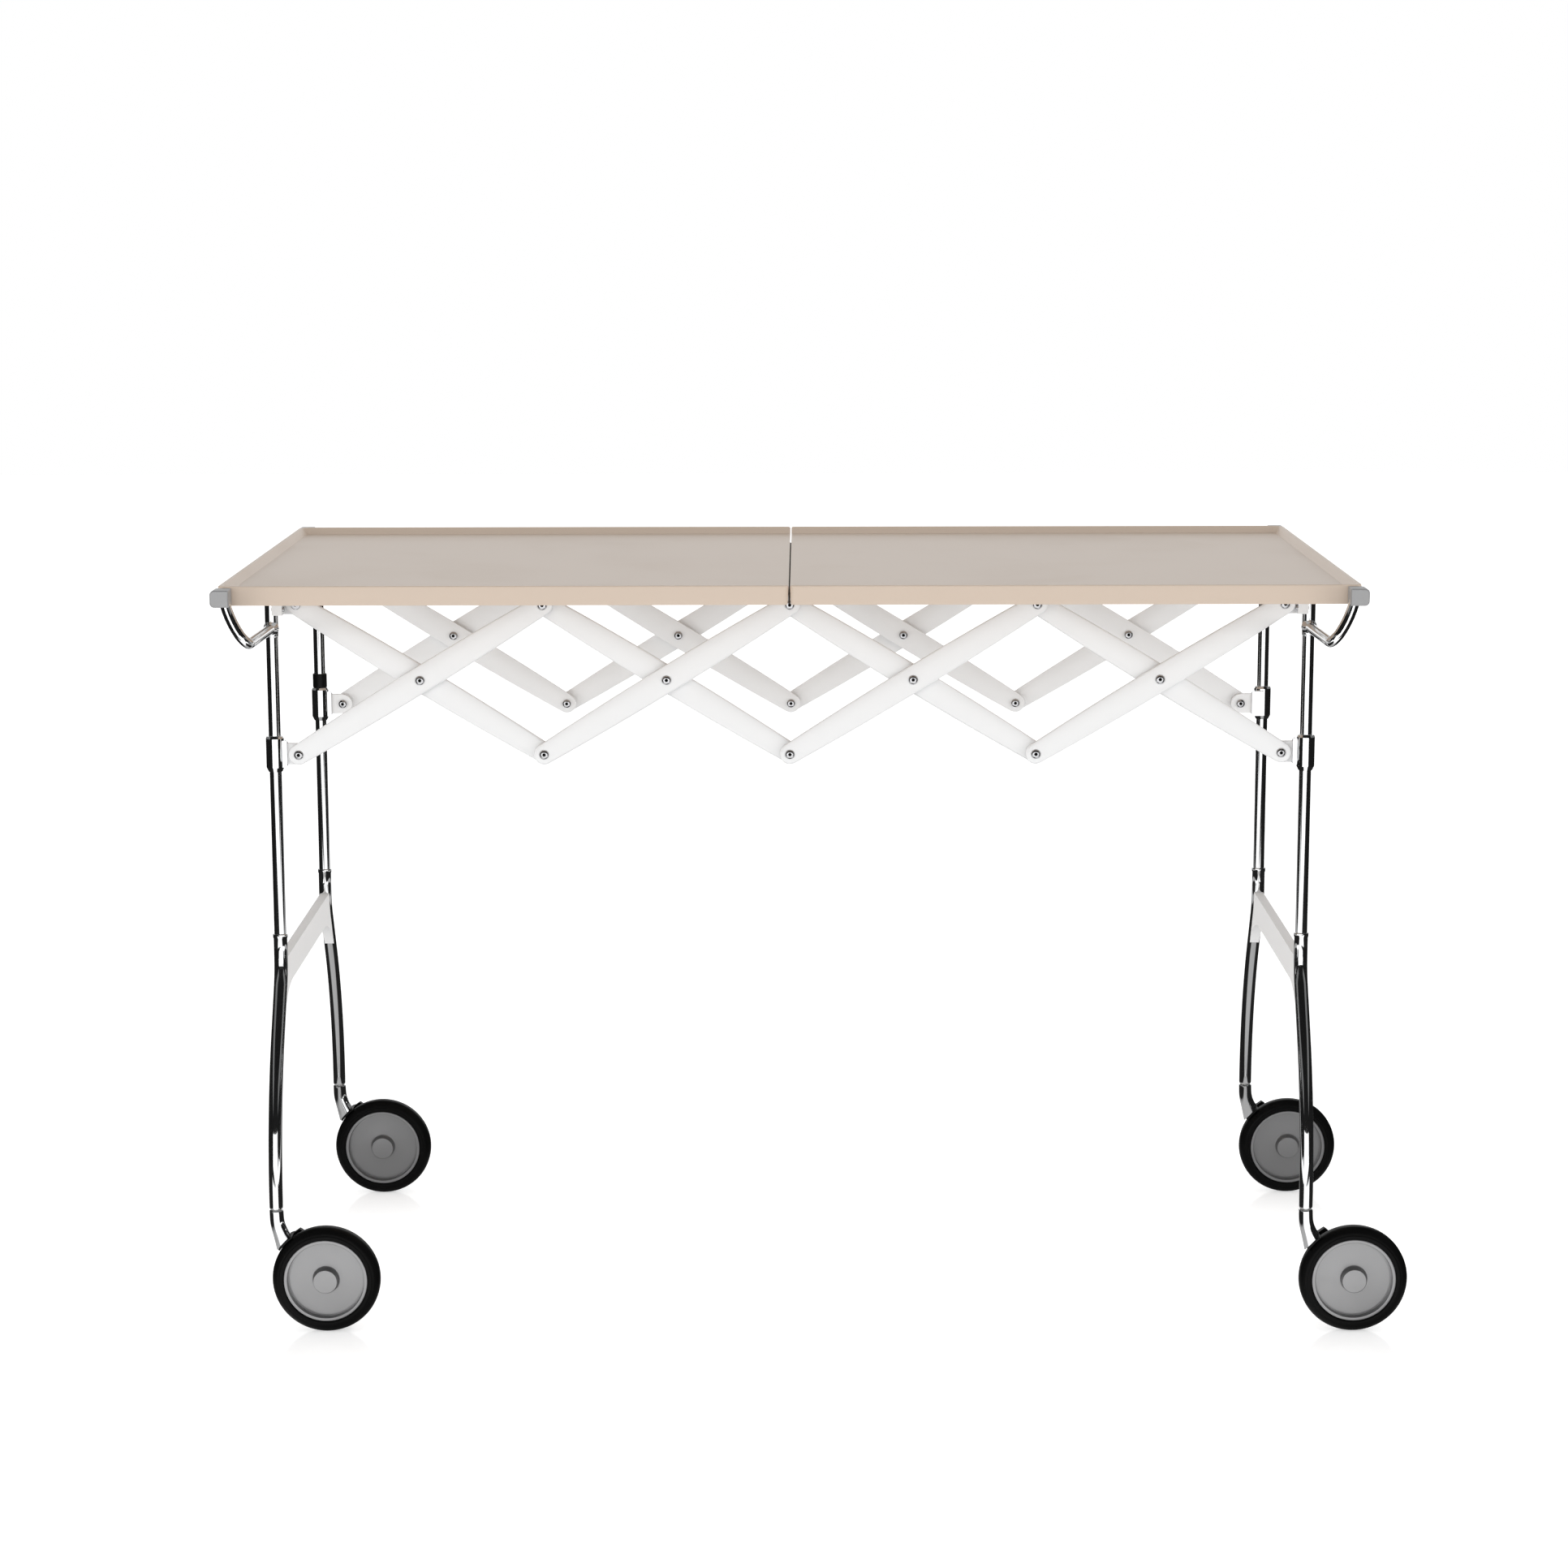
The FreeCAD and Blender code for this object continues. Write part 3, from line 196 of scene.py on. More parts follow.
def finish_material(name, color, roughness, drift=0.06, patches=12.0, grain=0.02, grains=900.0,
                    smears=0.08, smear_count=30.0, pebble_depth=0.0, pebbles=1200.0, waves=0.3,
                    **plain):
    """A painted, moulded or plated finish: its colour, smears and pebbles from the shared groups."""
    made = bpy.data.materials.new(name)
    made.use_nodes = True
    sheet = Sheet(made.node_tree)
    shader = made.node_tree.nodes["Principled BSDF"]
    for socket, value in plain.items():
        shader.inputs[socket.replace("_", " ").title().replace("Ior", "IOR")].default_value = value

    def effect(group, output, **values):
        """A shared group, placed with this finish's own values."""
        node = sheet.add("ShaderNodeGroup", node_tree=group)
        for socket, value in values.items():
            node.inputs[socket.replace("_", " ")].default_value = value
        return node.outputs[output]

    sheet.join(effect(SHADE_DRIFT, "Color", Color=color, Drift=drift, Patches_Per_Metre=patches,
                      Grain=grain, Grains_Per_Metre=grains), shader.inputs["Base Color"])
    sheet.join(effect(HANDLING_MARKS, "Roughness", Roughness=roughness, Smears=smears,
                      Smears_Per_Metre=smear_count), shader.inputs["Roughness"])
    if pebble_depth:
        raised = sheet.add("ShaderNodeBump")
        raised.inputs["Strength"].default_value = 1.0
        raised.inputs["Distance"].default_value = pebble_depth
        sheet.join(effect(FINE_PEBBLES, "Height", Pebbles_Per_Metre=pebbles, Waves=waves),
                   raised.inputs["Height"])
        sheet.join(raised.outputs["Normal"], shader.inputs["Normal"])
    return made


def dress(node, material):
    """Gives a kept node of the frame its finish."""
    mesh = nodes[node].data
    mesh.materials.clear()
    mesh.materials.append(material)


def rounded(corners, steps=4):
    """A profile with eased corners. Each corner is (radius, distance along, ease)."""
    points = []
    for index, (radius, along, ease) in enumerate(corners):
        here = Vector((radius, along))
        if not ease:
            points.append(here)
            continue
        before = (Vector(corners[index - 1][:2]) - here).normalized() * ease
        after = (Vector(corners[index + 1][:2]) - here).normalized() * ease
        for step in range(steps + 1):
            share = step / steps
            points.append(here + before * (1 - share) ** 2 + after * share ** 2)
    return points


def turn(shape, profile, centre, axis, segments=64):
    """Adds a turned body. Each profile point is (radius, distance along the axis from the centre)."""
    axis = Vector(axis)
    across = Vector((1, 0, 0)) if abs(axis.x) < 0.5 else Vector((0, 0, 1))
    third = axis.cross(across)
    rings = []
    for radius, along in profile:
        spot = Vector(centre) + axis * along
        if radius < 1e-7:
            rings.append([shape.verts.new(spot)])
            continue
        ring = []
        for index in range(segments):
            angle = 2 * math.pi * index / segments
            outward = across * math.cos(angle) + third * math.sin(angle)
            ring.append(shape.verts.new(spot + outward * radius))
        rings.append(ring)
    for low, high in zip(rings, rings[1:]):
        for index in range(segments):
            later = (index + 1) % segments
            if len(low) == 1 and len(high) == 1:
                break
            if len(low) == 1:
                shape.faces.new((low[0], high[index], high[later]))
            elif len(high) == 1:
                shape.faces.new((low[index], low[later], high[0]))
            else:
                shape.faces.new((low[index], low[later], high[later], high[index]))


def plain_mesh(shape, name, crease_degrees=35.0):
    """Closes a modelled shape into a smooth mesh whose faces point outwards."""
    bmesh.ops.remove_doubles(shape, verts=shape.verts, dist=1e-6)
    bmesh.ops.recalc_face_normals(shape, faces=shape.faces)
    mesh = bpy.data.meshes.new(name)
    shape.to_mesh(mesh)
    shape.free()
    smooth(mesh, crease_degrees)
    return mesh


def smooth(mesh, crease_degrees=35.0):
    mesh.polygons.foreach_set("use_smooth", [True] * len(mesh.polygons))
    mesh.set_sharp_from_angle(angle=math.radians(crease_degrees))


def fit(name, mesh, material, body, slot, *stands_for):
    """Puts a finished mesh on its body, in place of the frame's own nodes."""
    mesh.materials.clear()
    mesh.materials.append(material)
    piece = bpy.data.objects.new(name, mesh)
    bpy.context.scene.collection.objects.link(piece)
    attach(piece, body)
    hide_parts(*stands_for)
    return piece


SIDES = ("left", "right")
TUBE_RADIUS = 0.0055
TUBE_FOOT_Z = 0.342
THICK_START_Z = 0.6408
SHOULDER_RISE = 0.001
FOOT_EASE, SHOULDER_EASE, TOP_EASE = 0.0004, 0.0006, 0.0015
LEG_X, LEG_Y = {}, 0.0
chrome = finish_material("chrome_plate", (0.88, 0.89, 0.9, 1.0), 0.045, drift=0.03, smears=0.04,
                         metallic=1.0)
for side in SIDES:
    low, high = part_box(side + "_leg_tubes")
    thick = (high.x - low.x) / 2
    LEG_X[side] = (low.x + high.x) / 2
    LEG_Y = high.y - thick
    profile = rounded([(0, TUBE_FOOT_Z, 0), (TUBE_RADIUS, TUBE_FOOT_Z, FOOT_EASE),
                       (TUBE_RADIUS, THICK_START_Z, SHOULDER_EASE),
                       (thick, THICK_START_Z + SHOULDER_RISE, SHOULDER_EASE),
                       (thick, high.z, TOP_EASE), (0, high.z, 0)])
    tubes = bmesh.new()
    for way in (-1, 1):
        turn(tubes, profile, (LEG_X[side], way * LEG_Y, 0), (0, 0, 1), 96)
    fit(side + "_upper_leg_tubes", plain_mesh(tubes, "upper_leg_tubes"), chrome, side + "_frame",
        "chrome", side + "_leg_tubes")


# ---------------------------------------------------------------- splayed lower legs
# Chromed steel castings. The socket at the top, with a low ring, takes the tube; below it the leg
# swings outwards and comes back upright above the caster. Its lower end is rounded off.
def sweep(shape, path, radii, segments=48):
    """Adds a round bar along a flat path in a plane of constant X, with a radius at each point."""
    rings = []
    for index, spot in enumerate(path):
        before = path[max(index - 1, 0)]
        after = path[min(index + 1, len(path) - 1)]
        along = (after - before).normalized()
        sideways = Vector((1, 0, 0))
        outward = along.cross(sideways)
        ring = []
        for step in range(segments):
            angle = 2 * math.pi * step / segments
            reach = (sideways * math.cos(angle) + outward * math.sin(angle)) * radii[index]
            ring.append(shape.verts.new(spot + reach))
        rings.append(ring)
    for near, far in zip(rings, rings[1:]):
        for step in range(segments):
            later = (step + 1) % segments
            shape.faces.new((near[step], near[later], far[later], far[step]))
    shape.faces.new(rings[0])
    shape.faces.new(rings[-1])


SOCKET_TOP_Z = 0.362
SPLAY_START_Z = 0.340
FOOT_Z = 0.1165
SPLAY = 0.0695
SPLAY_SLANT = 0.0459
UPPER_BEND = 0.055
FOOT_LENGTH = 0.010
LOWER_RADIUS = 0.0063
RING_RADIUS = 0.0068
SOCKET_END_Z = SPLAY_START_Z + 0.006
UPPER_STEPS, LOWER_STEPS = 12, 24
SOCKET_PROFILE = [(0.0, LOWER_RADIUS - 0.0006), (0.0001, RING_RADIUS - 0.0004), (0.0005, RING_RADIUS),
                  (0.0036, RING_RADIUS), (0.0044, LOWER_RADIUS)]
FOOT_PROFILE = [(0.0022, LOWER_RADIUS), (0.0012, LOWER_RADIUS - 0.0002),
                (0.0004, LOWER_RADIUS - 0.0007), (0.0, LOWER_RADIUS - 0.0015)]
FOOT_Y = LEG_Y + SPLAY
fall = SPLAY_START_Z - FOOT_Z - FOOT_LENGTH
SPLAY_ANGLE = 2 * math.atan(SPLAY / (fall + SPLAY_SLANT))
LOWER_BEND = (fall - SPLAY_SLANT * math.cos(SPLAY_ANGLE)) / math.sin(SPLAY_ANGLE) - UPPER_BEND
for side in SIDES:
    legs = bmesh.new()
    for way in (-1, 1):
        spots = [(LEG_Y, SOCKET_TOP_Z - down, radius) for down, radius in SOCKET_PROFILE]
        spots.append((LEG_Y, SOCKET_END_Z, LOWER_RADIUS))
        for step in range(UPPER_STEPS + 1):
            bend = SPLAY_ANGLE * step / UPPER_STEPS
            spots.append((LEG_Y + UPPER_BEND * (1 - math.cos(bend)),
                          SPLAY_START_Z - UPPER_BEND * math.sin(bend), LOWER_RADIUS))
        for step in range(LOWER_STEPS + 1):
            bend = SPLAY_ANGLE * (1 - step / LOWER_STEPS)
            spots.append((FOOT_Y - LOWER_BEND * (1 - math.cos(bend)),
                          FOOT_Z + FOOT_LENGTH + LOWER_BEND * math.sin(bend), LOWER_RADIUS))
        spots += [(FOOT_Y, FOOT_Z + up, radius) for up, radius in FOOT_PROFILE]
        sweep(legs, [Vector((LEG_X[side], way * y, z)) for y, z, radius in spots],
              [radius for y, z, radius in spots], 96)
    fit(side + "_splayed_legs", plain_mesh(legs, "splayed_legs"), chrome, side + "_frame", "chrome",
        side + "_lower_legs")
nylon = finish_material("nylon_white", (0.72, 0.72, 0.70, 1.0), 0.5, drift=0.04)
for side in SIDES:
    dress(side + "_caster_bushes", nylon)


# ---------------------------------------------------------------- cross webs
# One flat white casting joins the front and the rear lower leg on each side. It is enamelled
# white, with less shine than the bars.
web_enamel = finish_material("web_enamel", (0.90, 0.90, 0.90, 1.0), 0.5, drift=0.012, grain=0.006,
                             smears=0.0, specular_ior_level=0.05)
for side in SIDES:
    dress(side + "_cross_web", web_enamel)


# ---------------------------------------------------------------- casters
# A chromed swivel neck with a pintle stands under each foot. Under it a black hood hugs the tyre
# and runs down behind the wheel as a single side arm, which holds the axle bolt.
def softened(node, name, ease, crease_degrees=40.0, steps=3):
    """A copy of a frame node, its facets merged back into faces and its edges eased."""
    shape = bmesh.new()
    shape.from_mesh(nodes[node].data)
    bmesh.ops.remove_doubles(shape, verts=shape.verts, dist=2e-6)
    bmesh.ops.dissolve_limit(shape, angle_limit=math.radians(0.6), verts=shape.verts, edges=shape.edges)
    mesh = bpy.data.meshes.new(name)
    shape.to_mesh(mesh)
    shape.free()
    holder = bpy.data.objects.new(name, mesh)
    bpy.context.scene.collection.objects.link(holder)
    bevel = holder.modifiers.new("ease", "BEVEL")
    bevel.width = ease
    bevel.segments = steps
    bevel.limit_method = "ANGLE"
    bevel.angle_limit = math.radians(28)
    bevel.use_clamp_overlap = True
    weld = holder.modifiers.new("even", "WEIGHTED_NORMAL")
    weld.keep_sharp = True
    smooth(mesh, crease_degrees)
    bpy.context.view_layer.update()
    evaluated = holder.evaluated_get(bpy.context.evaluated_depsgraph_get())
    eased = bpy.data.meshes.new_from_object(evaluated)
    bpy.data.objects.remove(holder)
    return eased


ENDS = ("front", "rear")
CORNERS = [side + "_" + end for side in SIDES for end in ENDS]
WHEEL_RADIUS = 0.050
TRAIL = 0.045
NECK_TOP_Z = FOOT_Z - 0.0003 - WHEEL_RADIUS
NECK_LOW_Z = 0.020
HOOD_UNDER = 0.0515
HOOD_THICK = 0.0055
HOOD_FLATTENING = 0.35
HOOD_GAP = 0.0006
HOOD_TOP = WHEEL_RADIUS + HOOD_GAP + HOOD_THICK * HOOD_FLATTENING + 0.0002
HOOD_SKIN = 0.0004
HOOD_END_SLOPE, HOOD_TAPER = 62.0, 18.0
HOOD_THIN_SHARE = 0.15
TURN_IN_SLOPE, TURN_IN_SHARE = 49.0, 0.7
NECK_EASE = 0.0012
PINTLE_RADIUS, PINTLE_HEIGHT, PINTLE_EASE = 0.004, 0.0272, 0.0006
NECK_SECTIONS = [(0.0, 0.0064, 0.0064, 0.0), (0.3, 0.0068, 0.0064, 0.0010),
                 (0.58, 0.00845, 0.0066, 0.00555), (0.87, 0.0100, 0.0069, 0.0100),
                 (1.0, 0.0105, 0.0069, 0.0115)]


def wheel_middle(corner):
    """The middle of the wheel at a corner of the table."""
    low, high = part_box(corner + "_caster_tyre")
    return (low + high) / 2


def neck_section(share):
    """Half length, half width and shift of the neck at a share of its way down, on a smooth curve."""
    last = len(NECK_SECTIONS) - 1
    at = next(index for index in range(last) if share <= NECK_SECTIONS[index + 1][0])
    before, start, end, after = (NECK_SECTIONS[min(max(at + step, 0), last)] for step in (-1, 0, 1, 2))
    span = end[0] - start[0]
    local = (share - start[0]) / span
    blend = local * local * (3 - 2 * local)
    result = []
    for value_before, value, value_next, value_after in zip(before[1:], start[1:], end[1:], after[1:]):
        slope = (value_next - value_before) / (end[0] - before[0]) * span
        slope_next = (value_after - value) / (after[0] - start[0]) * span
        result.append(value + (value_next - value) * blend + slope * local * (1 - local) ** 2
                      - slope_next * local * local * (1 - local))
    return result


def neck_shape(centre, rows=26, columns=64):
    """The horn of a neck: round at the top, longer and leaning below, cut to the hood's curve."""
    shape = bmesh.new()
    grid = []
    for column in range(columns):
        angle = 2 * math.pi * column / columns

        def spot(share):
            half_length, half_width, shift = neck_section(share)
            return Vector((-TRAIL + shift + half_length * math.cos(angle), half_width * math.sin(angle),
                           NECK_TOP_Z + (NECK_LOW_Z - NECK_TOP_Z) * share))

        near, far = 0.0, 1.0
        for _ in range(30):
            middle = (near + far) / 2
            point = spot(middle)
            if math.hypot(point.x, point.z) > HOOD_TOP:
                near = middle
            else:
                far = middle
        line = [spot(near * row / rows) for row in range(rows + 1)]
        top = Vector((-TRAIL, 0, NECK_TOP_Z))
        rim = line[0]
        eased = NECK_EASE / NECK_SECTIONS[0][1]
        inner = top + (rim - top) * (1 - eased)
        corner = top + (rim - top) * (1 - 0.3 * eased) - Vector((0, 0, 0.3 * NECK_EASE))
        line[0] = rim - Vector((0, 0, NECK_EASE))
        grid.append([top, inner, corner] + line)
    rings = [[shape.verts.new(centre + grid[column][row]) for column in range(columns)]
             for row in range(1, len(grid[0]))]
    for low, high in zip(rings, rings[1:]):
        for index in range(columns):
            later = (index + 1) % columns
            shape.faces.new((low[index], low[later], high[later], high[index]))
    shape.faces.new(rings[0])
    shape.faces.new(rings[-1])
    turn(shape, rounded([(0, 0, 0), (PINTLE_RADIUS, 0, 0), (PINTLE_RADIUS, PINTLE_HEIGHT, PINTLE_EASE),
                         (0, PINTLE_HEIGHT, 0)]),
         centre + Vector((-TRAIL, 0, NECK_TOP_Z - 0.0002)), (0, 0, 1), 32)
    return shape


def hood_mesh(corner, centre):
    """The frame's fork, its hood drawn in close over the tyre and thinned towards its upper end."""
    hood = softened(corner + "_caster_fork", "fork_hood", 0.0006)
    for vertex in hood.vertices:
        reach = Vector((vertex.co.x - centre.x, 0, vertex.co.z - centre.z))
        if reach.length > HOOD_UNDER - HOOD_SKIN:
            slope = math.degrees(math.atan2(reach.z, -reach.x))
            taper = min(max((HOOD_END_SLOPE - slope) / HOOD_TAPER, 0.0), 1.0)
            thinned = HOOD_THIN_SHARE + (1 - HOOD_THIN_SHARE) * taper
            thick = max(reach.length - HOOD_UNDER, 0.0) * HOOD_FLATTENING * thinned
            drawn_in = WHEEL_RADIUS + HOOD_GAP + thick
            turned_in = math.radians(slope - max(slope - TURN_IN_SLOPE, 0.0) * TURN_IN_SHARE)
            vertex.co.x = centre.x - drawn_in * math.cos(turned_in)
            vertex.co.z = centre.z + drawn_in * math.sin(turned_in)
    return hood


black_plastic = finish_material("black_fork_plastic", (0.003, 0.003, 0.003, 1.0), 0.4, drift=0.1,
                                specular_ior_level=0.2, pebble_depth=0.00001)
for corner in CORNERS:
    centre = wheel_middle(corner)
    fit(corner + "_swivel_neck", plain_mesh(neck_shape(centre), "swivel_neck", 30), chrome,
        corner + "_caster", "chrome", corner + "_caster_neck")
    fit(corner + "_fork_hood", hood_mesh(corner, centre), black_plastic, corner + "_caster",
        "black_plastic", corner + "_caster_fork")


# ---------------------------------------------------------------- wheels
# Solid black rubber tyres on moulded grey centres. The centre is a closed disc in front, with a
# raised lip and a coned boss, and a ribbed barrel behind that runs on the axle bolt.
tyre_rubber = finish_material("tyre_rubber", (0.0035, 0.0035, 0.0035, 1.0), 0.36, drift=0.15,
                              patches=40.0, smears=0.08, specular_ior_level=0.08,
                              pebble_depth=0.00001, pebbles=1500.0)
hub_grey = finish_material("hub_grey", (0.345, 0.345, 0.35, 1.0), 0.34, drift=0.04, patches=30.0,
                           smears=0.06, metallic=0.85, pebble_depth=0.000003, pebbles=2600.0)
bright_steel = finish_material("bright_steel", (0.5, 0.5, 0.51, 1.0), 0.22, smears=0.15, metallic=1.0)
TYRE_HALF_PROFILE = [(0.0389, 0.0088, 0), (0.0394, 0.0096, 0.0003), (0.0406, 0.0100, 0.0005),
                     (0.0425, 0.0100, 0.0004), (0.0431, 0.0096, 0.0003), (0.0452, 0.0092, 0.0008),
                     (0.0478, 0.0074, 0.0016), (0.0494, 0.0050, 0.0012), (0.0500, 0.0026, 0.0010)]
for corner in CORNERS:
    profile = [(radius, -along, ease) for radius, along, ease in TYRE_HALF_PROFILE]
    profile += [(radius, along, ease) for radius, along, ease in reversed(TYRE_HALF_PROFILE)]
    profile.append(profile[0])
    tyre = bmesh.new()
    turn(tyre, rounded(profile), wheel_middle(corner), (0, 1, 0), 144)
    fit(corner + "_wheel_tyre", plain_mesh(tyre, "wheel_tyre"), tyre_rubber, corner + "_wheel",
        "tyre_rubber", corner + "_caster_tyre")
    dress(corner + "_caster_axle", bright_steel)


def geometry_tree(name, inputs):
    """An empty Geometry Nodes tree with a Geometry input, the named inputs and one result."""
    tree = bpy.data.node_groups.new(name, "GeometryNodeTree")
    tree.interface.new_socket(name="Places", in_out="INPUT", socket_type="NodeSocketGeometry")
    for socket, kind in inputs:
        tree.interface.new_socket(name=socket, in_out="INPUT", socket_type=kind)
    tree.interface.new_socket(name="Result", in_out="OUTPUT", socket_type="NodeSocketGeometry")
    sheet = Sheet(tree)
    return sheet, sheet.add("NodeGroupInput"), sheet.add("NodeGroupOutput")


def put_on_places(sheet, given, instance):
    """Ends a tree: the instance on every place, turned by the place's own angles, made real."""
    angles = sheet.add("GeometryNodeInputNamedAttribute", data_type="FLOAT_VECTOR")
    angles.inputs["Name"].default_value = "turn"
    as_rotation = sheet.add("FunctionNodeEulerToRotation")
    sheet.join(angles.outputs["Attribute"], as_rotation.inputs["Euler"])
    placed = sheet.add("GeometryNodeInstanceOnPoints")
    sheet.join(given.outputs["Places"], placed.inputs["Points"])
    sheet.join(instance, placed.inputs["Instance"])
    sheet.join(as_rotation.outputs["Rotation"], placed.inputs["Rotation"])
    real = sheet.add("GeometryNodeRealizeInstances")
    sheet.join(placed.outputs["Instances"], real.inputs["Geometry"])
    painted = sheet.add("GeometryNodeSetMaterial")
    sheet.join(real.outputs["Geometry"], painted.inputs["Geometry"])
    sheet.join(given.outputs["Material"], painted.inputs["Material"])
    return painted.outputs["Geometry"]


def grown(name, tree, places, values):
    """Runs a tree on places, each (point, angles), and returns the plain mesh it makes."""
    seed = bpy.data.meshes.new(name)
    seed.from_pydata([point for point, angles in places], [], [])
    turns = seed.attributes.new("turn", "FLOAT_VECTOR", "POINT")
    for index, (point, angles) in enumerate(places):
        turns.data[index].vector = angles
    holder = bpy.data.objects.new(name, seed)
    bpy.context.scene.collection.objects.link(holder)
    layout = holder.modifiers.new("layout", "NODES")
    layout.node_group = tree
    for socket in tree.interface.items_tree:
        if socket.item_type == "SOCKET" and socket.in_out == "INPUT" and socket.name in values:
            layout[socket.identifier] = values[socket.name]
    bpy.context.view_layer.update()
    made = holder.evaluated_get(bpy.context.evaluated_depsgraph_get())
    result = bpy.data.meshes.new_from_object(made)
    holder.modifiers.remove(layout)
    bpy.data.objects.remove(holder)
    return result


def wheel_centre(centre):
    """The turned part of a wheel centre: raised lip, dished face, coned boss, rim and barrel."""
    bore, half, face = 0.0389, 0.010, -0.0082
    lip_inner, dish, skin = bore - 0.0036, face + 0.0042, 0.0024
    boss, boss_front, barrel, hole = 0.0113, face - 0.0040, 0.0105, 0.0043
    back = half - 0.0018
    shape = bmesh.new()
    turn(shape, rounded([
        (0, boss_front, 0), (boss, boss_front, 0.0009), (boss + 0.0004, dish, 0.0018),
        (lip_inner - 0.0016, dish, 0.0006), (lip_inner, dish + 0.0002, 0.0003),
        (lip_inner + 0.0004, face - 0.0010, 0.0006), (bore, face - 0.0010, 0.0009),
        (bore, back, 0.0006), (bore - 0.0026, back, 0.0006), (bore - 0.0030, dish + skin, 0.0012),
        (barrel, dish + skin, 0.0012), (barrel, half + 0.0006, 0.0006), (hole, half + 0.0006, 0.0003),
        (hole, boss_front + 0.0026, 0), (0, boss_front + 0.0026, 0)]), centre, (0, 1, 0), 96)
    return shape


def rib_tree():
    sheet, given, result = geometry_tree(
        "hub_ribs", [("Length", "NodeSocketFloat"), ("Depth", "NodeSocketFloat"),
                     ("Thickness", "NodeSocketFloat"), ("Material", "NodeSocketMaterial")])
    size = sheet.add("ShaderNodeCombineXYZ")
    sheet.join(given.outputs["Length"], size.inputs["X"])
    sheet.join(given.outputs["Depth"], size.inputs["Y"])
    sheet.join(given.outputs["Thickness"], size.inputs["Z"])
    rib = sheet.add("GeometryNodeMeshCube")
    sheet.join(size.outputs["Vector"], rib.inputs["Size"])
    sheet.join(put_on_places(sheet, given, rib.outputs["Mesh"]), result.inputs["Result"])
    return sheet.tree


RIB_COUNT = 6
RIB_MIDDLE = 0.0232
RIB_BACK = 0.0012
HUB_RIBS = rib_tree()
RIB_SIZES = {"Length": 0.0262, "Depth": 0.0080, "Thickness": 0.0025, "Material": hub_grey}
for corner in CORNERS:
    centre = wheel_middle(corner)
    places = []
    for index in range(RIB_COUNT):
        angle = 2 * math.pi * index / RIB_COUNT
        middle = Vector((math.cos(angle), 0, -math.sin(angle))) * RIB_MIDDLE
        places.append((centre + middle + Vector((0, RIB_BACK, 0)), (0.0, angle, 0.0)))
    shape = wheel_centre(centre)
    shape.from_mesh(grown("hub_ribs", HUB_RIBS, places, RIB_SIZES))
    fit(corner + "_wheel_centre", plain_mesh(shape, "wheel_centre", 32), hub_grey, corner + "_wheel",
        "hub_plastic", corner + "_caster_hub")


# ---------------------------------------------------------------- sliding collars
# Turned chromed sleeves slide on the tubes over plain nylon bushes. Each carries a white lug with
# the scissor's lowest pivot. A black stop ring sits on the left rear tube, above its collar.
white_enamel = finish_material("white_enamel", (0.875, 0.878, 0.88, 1.0), 0.27, drift=0.012,
                               grain=0.006, smears=0.0, pebble_depth=0.0000015, pebbles=1800.0,
                               waves=1.0)
for side in SIDES:
    dress(side + "_collar_sleeves", chrome)
    dress(side + "_collar_bushes", nylon)
    fit(side + "_pivot_lugs", softened(side + "_collar_lugs", "pivot_lugs", 0.0007), white_enamel,
        side + "_collars", "white_enamel", side + "_collar_lugs")
dress("left_rear_stop_ring", black_plastic)


# ---------------------------------------------------------------- lazy-tong bars
# Eight white enamelled bars cross in pairs at the front and eight at the rear. Each is leaf-shaped
# and crowned outside, flat inside, and drilled and spot-faced for three pivot screws.
BAR_LENGTH = 0.2655
BAR_ANGLE = math.radians(31.46)
BAR_END = 0.0094
BAR_MIDDLE = 0.0120
BAR_THICK = 0.005
BAR_CROWN = 0.0016
TABLE_SHIFT = Vector((-0.0301, 0, 0))
PIVOT_SPACING = BAR_LENGTH * math.cos(BAR_ANGLE)
TOP_PIVOT_Z = 0.6706
CROSS_Z = TOP_PIVOT_Z - BAR_LENGTH * math.sin(BAR_ANGLE) / 2
LAYER_Y = {"inner": 0.1528, "outer": 0.1588}
SPOT_FACE = 0.0045
HEAD_SEAT = 0.0017
PIVOT_BORE = 0.0025
DRILL_REACH = 0.004
# How far each ring of a bar's section is set in from its edge and down from its face, from the
# flat inside face round the edge to the crowned outside face.
FLAT_RINGS = [(0.0005, 0.0), (0.00015, 0.00015), (0.0, 0.0005)]
CROWN_RINGS = [(0.0, 0.0012), (0.00015, 0.0007), (0.0005, 0.0003), (0.0011, 0.00005), (0.0022, 0.0),
               (0.0045, 0.0), (0.0070, 0.0), (1.0, 0.0)]


def half_width(along):
    """Half the bar's width at a distance from its middle."""
    share = min(abs(along) / (BAR_LENGTH / 2), 1.0)
    return BAR_MIDDLE + (BAR_END - BAR_MIDDLE) * share ** 2


